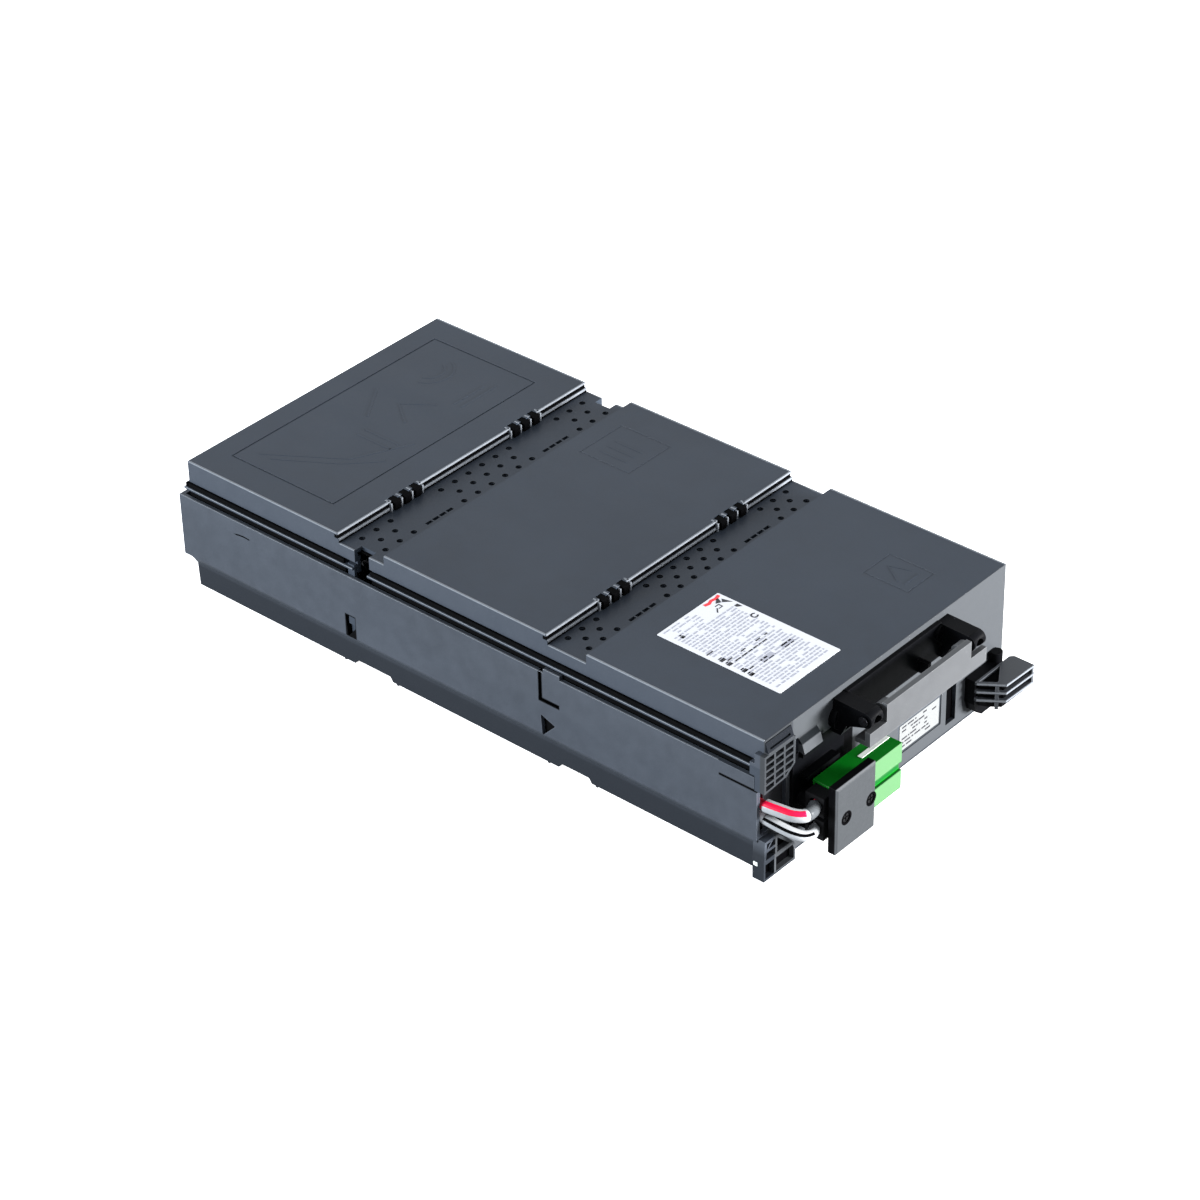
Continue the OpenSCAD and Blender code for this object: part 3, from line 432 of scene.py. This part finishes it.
# Width of the rounded edges of each node, in millimetres
EDGE_ROUNDING = {
    "tray": 0.5, "top_cover": 0.45, "handle_frame": 0.5, "handle_grip": 0.5, "guide_ear": 0.35,
    "ear_base": 0.5, "connector_housing": 0.5, "connector_bracket": 0.4, "clamp_plate": 0.5,
    "clamp_screws": 0.2, "frame_screws": 0.2, "hinge_pins": 0.25,
}


def dress_nodes(materials):
    """Gives every CAD node its material, and rounded edges where they show."""
    for name, node in nodes.items():
        node.data.materials.clear()
        node.data.materials.append(materials[NODE_MATERIALS[name]])
        if name in EDGE_ROUNDING:
            weld = node.modifiers.new("weld", "WELD")
            weld.merge_threshold = 0.00001
            bevel = node.modifiers.new("rounded_edges", "BEVEL")
            bevel.width = EDGE_ROUNDING[name] * MM
            bevel.segments = 2
            bevel.limit_method = "ANGLE"
            bevel.angle_limit = math.radians(32)
            bevel.use_clamp_overlap = True
            bevel.harden_normals = False


# ------------------------------------------------------------------ pieces


def piece(name, verts, faces, material, body="case", stands_for=(), bevel=0.0, smooth=False):
    """A mesh in millimetres that rides a body."""
    mesh = bpy.data.meshes.new(name)
    mesh.from_pydata([Vector(v) * MM for v in verts], [], faces)
    fix = bmesh.new()
    fix.from_mesh(mesh)
    bmesh.ops.recalc_face_normals(fix, faces=fix.faces)
    fix.to_mesh(mesh)
    fix.free()
    mesh.materials.append(materials[material])
    if smooth:
        mesh.polygons.foreach_set("use_smooth", [True] * len(mesh.polygons))
    made = bpy.data.objects.new(name, mesh)
    scene.collection.objects.link(made)
    if bevel:
        edge = made.modifiers.new("rounded_edges", "BEVEL")
        edge.width = bevel * MM
        edge.segments = 2
        edge.limit_method = "ANGLE"
        edge.angle_limit = math.radians(40)
    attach(made, body)
    if stands_for:
        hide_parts(*stands_for)
    return made


BOX_FACES = ((0, 1, 3, 2), (4, 6, 7, 5), (0, 4, 5, 1), (2, 3, 7, 6), (0, 2, 6, 4), (1, 5, 7, 3))


def boxes(name, spans, material, **more):
    """Many boxes in one mesh, each given by two corners."""
    verts, faces = [], []
    for low, high in spans:
        first = len(verts)
        verts += [(x, y, z) for x in (low[0], high[0]) for y in (low[1], high[1])
                  for z in (low[2], high[2])]
        faces += [tuple(first + i for i in face) for face in BOX_FACES]
    return piece(name, verts, faces, material, **more)


def prisms(name, outlines, axis, low, high, material, **more):
    """Outlines extruded along an axis. Each point is given in the two other axes, in order."""
    verts, faces = [], []
    for outline in outlines:
        first, count = len(verts), len(outline)
        for level in (low, high):
            for point in outline:
                corner = list(point)
                corner.insert(axis, level)
                verts.append(tuple(corner))
        faces.append(tuple(range(first + count - 1, first - 1, -1)))
        faces.append(tuple(range(first + count, first + 2 * count)))
        faces += [(first + i, first + (i + 1) % count, first + count + (i + 1) % count,
                   first + count + i) for i in range(count)]
    return piece(name, verts, faces, material, **more)


def curve_points(route, steps=8):
    """The CAD's smooth curve through a route's points."""
    points = []
    last = len(route) - 1
    for i in range(last):
        p0, p1, p2, p3 = (Vector(route[max(0, min(last, i + k))]) for k in (-1, 0, 1, 2))
        for k in range(steps):
            t = k / steps
            points.append(0.5 * (2 * p1 + (p2 - p0) * t + (2 * p0 - 5 * p1 + 4 * p2 - p3) * t * t
                                 + (3 * p1 - p0 - 3 * p2 + p3) * t ** 3))
    points.append(Vector(route[last]))
    return points


def tube(name, path, radius, material, start=0.0, end=360.0, inner=0.0, **more):
    """Round tube along a path, or a strip of its skin between two angles, 0 being outward."""
    sides = max(3, round((end - start) / 15))
    closed = end - start >= 359.9
    verts, faces = [], []
    columns = sides if closed else sides + 1
    layers = (radius,) if not inner else (radius, inner)
    for i, here in enumerate(path):
        along = (path[min(i + 1, len(path) - 1)] - path[max(i - 1, 0)]).normalized()
        side = along.cross(Vector((0, 0, 1))).normalized()
        rise = side.cross(along)
        for layer in layers:
            for k in range(columns):
                angle = math.radians(start + (end - start) * k / sides)
                verts.append(here + layer * (math.cos(angle) * side + math.sin(angle) * rise))
    ring = columns * len(layers)
    for i in range(len(path) - 1):
        for k in range(sides):
            a, b = i * ring + k, i * ring + (k + 1) % columns
            faces.append((a, b, b + ring, a + ring))
            if inner:
                faces.append((a + columns, a + columns + ring, b + columns + ring, b + columns))
        if inner and not closed:
            for k in (0, columns - 1):
                a = i * ring + k
                faces.append((a, a + ring, a + columns + ring, a + columns))
    for i in (0, len(path) - 1):
        if inner:
            for k in range(sides):
                a, b = i * ring + k, i * ring + (k + 1) % columns
                faces.append((a, b, b + columns, a + columns))
        else:
            faces.append(tuple(i * ring + k for k in range(columns)))
    return piece(name, verts, faces, material, smooth=True, **more)


# Heights, edges and places on the cover, in millimetres, as in the CAD
PANEL_Z = 80.4
VALLEY_Z = 75.0
COVER_X = 95.0
VALLEYS = ((51.5, 83.7), (-82.5, -56.7))
PANELS = ((83.7, 192.0), (-56.7, 51.5), (-192.0, -82.5))
RIB_X = 45.4
RIB_PITCH = 7.7
NOTCH = (61.8, 72.2)
VENT_ROWS = ((76.7, 68.6, 60.5), (-61.6, -68.3, -75))
VENT_PITCH = 10.4
SIDE_VENTS_X = 74


def make_cover_trim():
    """Light strips along the panels' edges, the lips, the flange and the tray's rim, and light bars
    on the ribs, as painted highlights; black fills in the lips' grooves and the rib notches as
    painted shade; a white painted glint in the foot's notch.
    """
    highlight_strips = []
    for side in (-1, 1):
        x = sorted((side * (COVER_X - 0.9), side * (COVER_X + 0.04)))
        for low, high in PANELS:
            highlight_strips.append(((x[0], low + 0.4, PANEL_Z - 0.55), (x[1], high - 0.4, PANEL_Z + 0.12)))
        for low, high in VALLEYS:
            # The rear valley's highlight strip stops at the notch in the cover's side
            spans = [(low + 0.3, high - 1.4)]
            if low > 0:
                spans = [(low + 0.3, NOTCH[0]), (NOTCH[1], high - 1.4)]
            highlight_strips += [((x[0], a, VALLEY_Z - 0.4), (x[1], b, VALLEY_Z + 0.12)) for a, b in spans]
    grooves, notch_shades, bars = [], [], []
    for _, edge in VALLEYS:
        for low, high in ((-94.6, -RIB_X - 10.4), (-RIB_X + 10.4, RIB_X - 10.4),
                          (RIB_X + 10.4, 94.6)):
            highlight_strips.append(((low, edge - 0.12, PANEL_Z - 1.0), (high, edge + 0.75, PANEL_Z + 0.1)))
            highlight_strips.append(((low, edge - 1.02, VALLEY_Z + 1.1), (high, edge - 0.3, VALLEY_Z + 2.5)))
            grooves.append(((low, edge + 0.1, VALLEY_Z + 2.32), (high, edge + 1.9, PANEL_Z - 1.1)))
            grooves.append(((low, edge - 0.98, VALLEY_Z + 0.02),
                            (high, edge - 0.85, VALLEY_Z + 1.1)))
        for side in (-1, 1):
            for i in (-1, 0, 1):
                x = side * RIB_X + i * RIB_PITCH
                notch_shades.append(((x - 2.15, edge - 2.6, VALLEY_Z + 0.02),
                              (x + 2.15, edge + 2.9, PANEL_Z - 0.08)))
            for i in (-1.5, -0.5, 0.5, 1.5):
                x = side * RIB_X + i * RIB_PITCH
                bars.append(((x - 0.5, edge - 1.9, VALLEY_Z + 0.02),
                             (x + 0.5, edge - 0.3, PANEL_Z - 0.6)))
                bars.append(((x - 0.5, edge - 0.3, PANEL_Z - 0.1),
                             (x + 0.5, edge + 2.6, PANEL_Z + 0.1)))
    for side in (-1, 1):
        x = sorted((side * 96.7, side * 97.24))
        for low, high in ((-187.8, NOTCH[0]), (NOTCH[1], 193.8)):
            highlight_strips.append(((x[0], low, 64.8), (x[1], high, 65.24)))
    boxes("cover_highlight_strips", highlight_strips, "highlight_plastic", bevel=0.05)
    rims = []
    for side in (-1, 1):
        x = sorted((side * 97.2, side * 97.99))
        for low, high in ((-166.5, -67.6), (-56.6, 197.2)):
            rims.append(((x[0], low, 59.45), (x[1], high, 59.58)))
        rims.append(((x[0], -67.3, 61.85), (x[1], -56.9, 61.98)))
    boxes("rim_highlight_strips", rims, "highlight_plastic", bevel=0.05)
    # White glint in the foot's notch: a painted highlight
    boxes("foot_glint", [((-97.9, -190.6, 7.7), (-96.65, -187.9, 9.9)),
                         ((-97.9, -192.6, 8.3), (-97.6, -190.9, 9.3))], "glint_white", bevel=0.3)
    boxes("lip_groove_shades", grooves, "seal_rubber")
    boxes("rib_notch_shades", notch_shades, "seal_rubber", bevel=0.4)
    boxes("rib_highlight_bars", bars, "highlight_plastic", bevel=0.3)


def rings(centres, inner, outer):
    """Flat rings with a seam, as outlines."""
    turn = [math.radians(a) for a in range(0, 361, 20)]
    return [[(x + outer * math.cos(a), y + outer * math.sin(a)) for a in turn]
            + [(x + inner * math.cos(a), y + inner * math.sin(a)) for a in reversed(turn)]
            for x, y in centres]


def make_vents():
    """Black rings round the vent holes and dash slots, and a dark sheet under them, as painted
    shade.
    """
    centres, shade_sheets, slots = [], [], []
    for rows in VENT_ROWS:
        for k, y in enumerate(rows):
            fewer = 1 if k == 1 else 0
            for count, middle in ((6 - fewer, 0), (3 - fewer, -SIDE_VENTS_X),
                                  (3 - fewer, SIDE_VENTS_X)):
                centres += [(middle + (i - (count - 1) / 2) * VENT_PITCH, y)
                            for i in range(count)]
        for side in (-1, 1):
            for i in range(4):
                x = side * (RIB_X - 0.8) + (i - 1.5) * 5.1
                slots.append([(x - 2.0, rows[2] - 0.95), (x + 2.0, rows[2] - 0.95),
                              (x + 2.0, rows[2] + 0.95), (x - 2.0, rows[2] + 0.95),
                              (x - 2.0, rows[2] + 0.72), (x + 1.8, rows[2] + 0.72),
                              (x + 1.8, rows[2] - 0.72), (x - 1.8, rows[2] - 0.72),
                              (x - 1.8, rows[2] + 0.72), (x - 2.0, rows[2] + 0.72)])
    for low, high in VALLEYS:
        shade_sheets.append(((-91, low + 1.5, VALLEY_Z - 2.75), (91, high - 1.5, VALLEY_Z - 2.4)))
    skin = (VALLEY_Z - 0.3, VALLEY_Z + 0.03)
    prisms("vent_shade_rings", rings(centres, 1.26, 1.62), 2, *skin, "seal_rubber")
    prisms("dash_shade_rims", slots, 2, *skin, "seal_rubber")
    boxes("vent_shade_sheet", shade_sheets, "seal_rubber")


def make_front_shades_and_highlights():
    """Black fills at the bottoms of the moulded cells at the front corner and of the ear's slots,
    and black rings in the plate's screw recesses, as painted shade;
    light strips on the ear's fins as painted highlights."""
    grid = [(-96.9, 53.2), (-82.6, 54.4), (-76.2, 58.8), (-76.2, 72.3), (-96.9, 72.3)]
    prisms("grid_cell_shade", [grid], 1, -192.2, -190.9, "seal_rubber")
    foot = [(-96.8, 1.4), (-75.2, 1.4), (-75.2, 8.4), (-76.5, 10.8), (-88, 22), (-96, 22),
            (-96.8, 12)]
    prisms("foot_cell_shade", [foot], 1, -191.6, -190.4, "seal_rubber")
    shell = [(68.6, -197.2), (75.6, -207.6), (95.6, -208.4), (95.6, -197.2)]
    for name, low in (("ear_slot_shade_low", 16.8), ("ear_slot_shade_high", 21.7)):
        prisms(name, [shell], 2, low, low + 3.25, "seal_rubber")
    edge = [(66.3, -197.8), (74.7, -210.0), (97.5, -210.6), (97.55, -199)]
    inner = [(66.9, -197.6), (75.1, -209.5), (97.0, -210.1), (97.05, -199)]
    for i, low in enumerate((15.2, 20.1, 25.0)):
        prisms(f"ear_highlight_strip_{i}", [edge + inner[::-1]], 2, low + 0.45, low + 1.35, "highlight_plastic")
    prisms("screw_recess_shade_rings", rings([(-65.4, 31), (-46.4, 31)], 2.55, 3.9),
           1, -218.03, -217.4, "seal_rubber")


def make_seam_shades():
    """Black strips above and below the cover's flange as painted shade in the seam, open at the
    hooks, and black pads behind openings in the walls as painted shade.
    """
    upper, lower = [], []
    for side in (-1, 1):
        for low, high in ((-186.5, 60.5), (78.5, 191.5)):
            x = sorted((side * 95.05, side * 96.5))
            upper.append(((x[0], low, 65.25), (x[1], high, 67.75)))
            x = sorted((side * 93.3, side * 95.5))
            lower.append(((x[0], low, 59.7), (x[1], high, 63.9)))
    upper.append(((-96.5, 192.05, 65.25), (96.5, 193.4, 67.75)))
    lower.append(((-93.2, 190.3, 59.7), (93.2, 193.2, 63.9)))
    boxes("upper_seam_shade", upper, "seal_rubber", bevel=0.4)
    boxes("lower_seam_shade", lower, "seal_rubber", bevel=0.4)
    pads = []
    for side in (-1, 1):
        x = sorted((side * 94.3, side * 95.55))
        pads.append(((x[0], -69.5, 41.2), (x[1], -53, 59.3)))
        pads.append(((x[0], -65.5, 20), (x[1], -53, 36)))
    pads.append(((51.7, -187.9, 5.3), (59.5, -187.75, 26.9)))
    boxes("window_shade_pads", pads, "seal_rubber", bevel=0.05)


def words(rng, x0, x1, y, height, z, share=0.8):
    """One line of print: short bars of mixed length."""
    spans = []
    x = x0
    while x < x1 - 0.8:
        wide = min(rng.uniform(1.0, 5.2), x1 - x)
        if rng.random() < share:
            spans.append(((x, y, z[0]), (x + wide, y + height, z[1])))
        x += wide + rng.uniform(0.5, 1.1)
    return spans


def make_top_label():
    """Paper label with rounded corners, lines of unreadable print and a few plain shapes."""
    x0, x1, y0, y1, r = -61.0, -14.6, -174.0, -98.0, 0.6
    outline = []
    for cx, cy, turn in ((x1 - r, y1 - r, 0), (x0 + r, y1 - r, 90), (x0 + r, y0 + r, 180),
                         (x1 - r, y0 + r, 270)):
        outline += [(cx + r * math.cos(math.radians(turn + a)),
                     cy + r * math.sin(math.radians(turn + a))) for a in (0, 22, 45, 68, 90)]
    prisms("label_sheet", [outline], 2, PANEL_Z + 0.01, PANEL_Z + 0.1, "label_paper",
           stands_for=("top_label",))
    rng = random.Random(11)
    z = (PANEL_Z + 0.09, PANEL_Z + 0.13)
    pale, dark = [], []
    row = y0 + 4.0
    while row < y1 - 13.0:
        pale += words(rng, x0 + 3.0, x1 - 4.5, row, 1.0, z, 0.92)
        row += 2.15
    while row < y1 - 2.5:
        pale += words(rng, x0 + 3.0, -36, row, 0.9, z, 0.6)
        row += 2.3
    for y, left, right in ((-138.5, -56, -26), (-141.5, -54, -30), (-150.8, -57, -44),
                           (-128, -59, -52)):
        dark += words(rng, left, right, y, 0.8, z, 0.75)
    pale.append(((-46, -152.5, z[0]), (-37, -149, z[1])))
    pale.append(((-31, -152.5, z[0]), (-22, -149.4, z[1])))
    boxes("label_lines", pale, "ink_grey")
    for x, y, wide in ((-58.8, -137, 3.4), (-59, -141.6, 3.0), (-58.6, -150.5, 3.2),
                       (-58.8, -155, 3.0), (-55.5, -110, 2.2)):
        dark.append(((x, y, z[0]), (x + wide, y + 2.0, z[1])))
        dark.append(((x + 0.6, y + 2.4, z[0]), (x + wide - 0.4, y + 3.2, z[1])))
    boxes("label_marks", dark, "ink_black")
    shapes = [[(-19.6, -104.8), (-15.8, -108.6), (-17.4, -102.6)],
              [(-22.6, -103.2), (-19.9, -104.6), (-18.2, -101.2), (-19.3, -100.8)],
              [(-24.8, -104.4), (-21.8, -104.4), (-21.8, -107.4), (-24.8, -107.4), (-24.8, -106.8),
               (-22.5, -106.8), (-22.5, -105), (-24.8, -105)],
              [(-18.2, -111.2), (-15.8, -111.2), (-15.8, -114.6), (-18.2, -112.8)],
              [(-28.2, -108.6), (-25.4, -106), (-24.9, -106.5), (-27.7, -109.1)]]
    ring = [(-18.3 + 2.1 * math.cos(math.radians(a)), -124.0 + 2.1 * math.sin(math.radians(a)))
            for a in range(30, 331, 20)]
    ring += [(-18.3 + 1.2 * math.cos(math.radians(a)), -124.0 + 1.2 * math.sin(math.radians(a)))
             for a in range(330, 29, -20)]
    prisms("label_shapes", shapes + [ring], 2, z[0], z[1], "ink_black")
    band = [(-27.5, -99.0), (-24.6, -99.8), (-22.0, -98.9), (-19.2, -99.6), (-16.0, -98.7),
            (-15.9, -100.6), (-19.4, -101.5), (-22.2, -100.8), (-24.9, -101.8), (-27.7, -101.0)]
    prisms("label_red_band", [band], 2, z[0], z[1], "ink_red")


def make_front_label_print():
    """Paper label in its shallow field, with lines of unreadable print."""
    boxes("front_label_sheet", [((13.6, -189.76, 10), (46, -189.5, 25.6))], "label_dim", bevel=0.08,
          stands_for=("front_label",))
    rng = random.Random(5)
    y0, y1 = -189.8, -189.74
    spans = []
    for row in range(6):
        z = 23.4 - 2.3 * row
        right = 43.5 if row % 3 else 36
        for (x_low, _, _), (x_high, _, _) in words(rng, 15.5, right, 0, 0, (0, 0), 0.8):
            spans.append(((x_low, y0, z), (x_high, y1, z + 0.95)))
    boxes("front_label_print", spans, "ink_black")


# The leads' routes, in millimetres, as in the CAD
POSITIVE = ((-70, -205.5, 37.8), (-74, -205.9, 37.8), (-79, -208, 38.2), (-85, -208.4, 39.2),
            (-89.3, -204.8, 40.3), (-91.2, -199, 41), (-92.5, -193, 41.4), (-93, -187, 41.3),
            (-93, -178, 41), (-93, -140, 41), (-93, -100, 41), (-93, -90, 41), (-92.9, -84, 40.6),
            (-91.4, -78, 39), (-88, -71, 36.5), (-83.5, -67, 34.5), (-79.5, -66, 34),
            (-76, -66, 34))
NEGATIVE = ((-70, -205.5, 24.2), (-74, -206, 24.2), (-79, -208.2, 24.9), (-84.3, -207.6, 26.4),
            (-88, -203.6, 28.4), (-90.4, -198, 30.6), (-92, -193, 32.5), (-93, -187, 33.8),
            (-93, -178, 34), (-93, -140, 34), (-93, -60, 34), (-93, 0, 34), (-93, 36, 34),
            (-93, 46, 34.3), (-91.4, 54, 35.5), (-82, 60, 39), (-60, 61, 45), (-40, 58, 51),
            (-30, 54, 56.6), (-26, 51.5, 58), (-23, 51.5, 58), (-19.6, 51.5, 58))


def make_leads():
    """Smooth leads along the CAD's routes, with printed and wrapped sleeves at the front corner; the
    wrap by the plug is darkened partly as painted shade.
    """
    upper, lower = curve_points(POSITIVE), curve_points(NEGATIVE)
    tube("positive_cable", upper, 2.4, "red_insulation", stands_for=("positive_lead",))
    tube("negative_cable", lower, 2.4, "grey_insulation", stands_for=("negative_lead",))
    seen_upper = [p for p in upper if p.y < -190.2 and p.x < -74.3]
    seen_lower = [p for p in lower if p.y < -190.2 and p.x < -74.3]
    bend = next(i for i, p in enumerate(seen_upper) if p.x < -86.5)
    tube("upper_sleeve", seen_upper, 3.3, "white_sleeve", inner=2.5,
         stands_for=("positive_sleeve",))
    # Dark wrap by the plug: silver tape darkened partly as painted shade
    tube("shaded_upper_wrap", seen_upper[:max(3, bend - 3)], 3.36, "shaded_silver_tape", inner=3.2)
    tube("upper_stripe", seen_upper[bend - 2:], 3.38, "red_print", 100, 152, inner=3.2)
    tube("lower_sleeve", seen_lower, 2.75, "white_sleeve", inner=2.45,
         stands_for=("negative_sleeve",))
    tube("lower_seam", seen_lower[bend // 2:], 2.82, "seal_rubber", 128, 158, inner=2.65)


def make_emboss():
    """Low raised shapes on the panels, kept abstract."""
    z = (PANEL_Z - 0.02, PANEL_Z + 0.1)

    def stroke(points, wide):
        left, right = [], []
        for i, here in enumerate(points):
            ahead = Vector(points[min(i + 1, len(points) - 1)]) - Vector(points[max(i - 1, 0)])
            side = Vector((-ahead.y, ahead.x)).normalized() * wide / 2
            left.append(tuple(Vector(here) + side))
            right.append(tuple(Vector(here) - side))
        return left + right[::-1]

    arcs = [stroke([(52 + r * math.cos(math.radians(a)), 158 + r * math.sin(math.radians(a)))
                    for a in range(200, 341, 14)], 1.2) for r in (9, 14)]
    shapes = [stroke([(-66, 168), (-40, 128), (-8, 112)], 1.4),
              stroke([(-66, 160), (-46, 128), (-30, 112)], 1.2),
              stroke([(-20, 118), (-20, 142)], 1.3), stroke([(-14, 118), (-14, 142)], 1.3),
              stroke([(4, 130), (16, 146), (28, 130)], 1.3), stroke([(34, 118), (62, 118)], 1.2),
              stroke([(34, 123), (58, 123)], 1.2), stroke([(-4, 150), (20, 166)], 1.2)]
    prisms("rear_emboss", shapes + arcs, 2, z[0], z[1], "cover_plastic")
    small = [stroke([(48, 14), (48, 32)], 1.1), stroke([(54, 14), (54, 32)], 1.1),
             stroke([(60, 14), (60, 32)], 1.1),
             stroke([(49, -164), (61, -164)], 0.9),
             stroke([(49, -160), (57, -148), (61, -160)], 0.9)]
    prisms("panel_emboss", small, 2, z[0], z[1], "cover_plastic")
    fills = []
    for (x0, y0), (x1, y1) in (((40, 6), (74, 40)), ((44, -170), (66, -142))):
        for low, high in (((x0, y0), (x1, y0 + 0.9)), ((x0, y1 - 0.9), (x1, y1)),
                          ((x0, y0 + 0.9), (x0 + 0.9, y1 - 0.9)),
                          ((x1 - 0.9, y0 + 0.9), (x1, y1 - 0.9))):
            fills.append(((*low, PANEL_Z - 0.4), (*high, PANEL_Z - 0.12)))
    boxes("frame_fills", fills, "cover_plastic")
    wall = [stroke([(150 + 22 * math.cos(math.radians(a)), 34 + 18 * math.sin(math.radians(a)))
                    for a in range(-10, 101, 10)], 0.8),
            stroke([(172, 26), (186, 26)], 0.8)]
    prisms("wall_emboss", wall, 0, -98.0, -97.85, "tray_plastic")


def make_connector_trim():
    """White strip on the plug's top as a painted highlight, and the dark lines along its groove as
    painted shade.
    """
    boxes("plug_glint", [((-38.4, -206.0, 44.45), (-16.6, -203.2, 44.66))], "glint_white",
          bevel=0.05)
    # Dark lines along the groove's edges: painted shade
    lines = [((-41, -213.04, z), (-16.1, -212.5, z + 0.4)) for z in (33.15, 28.05)]
    boxes("plug_groove_shade_lines", lines, "connector_groove_shade")


make_camera()
make_studio()
materials = make_materials()
dress_nodes(materials)
make_cover_trim()
make_seam_shades()
make_vents()
make_front_shades_and_highlights()
make_top_label()
make_front_label_print()
make_leads()
make_emboss()
make_connector_trim()
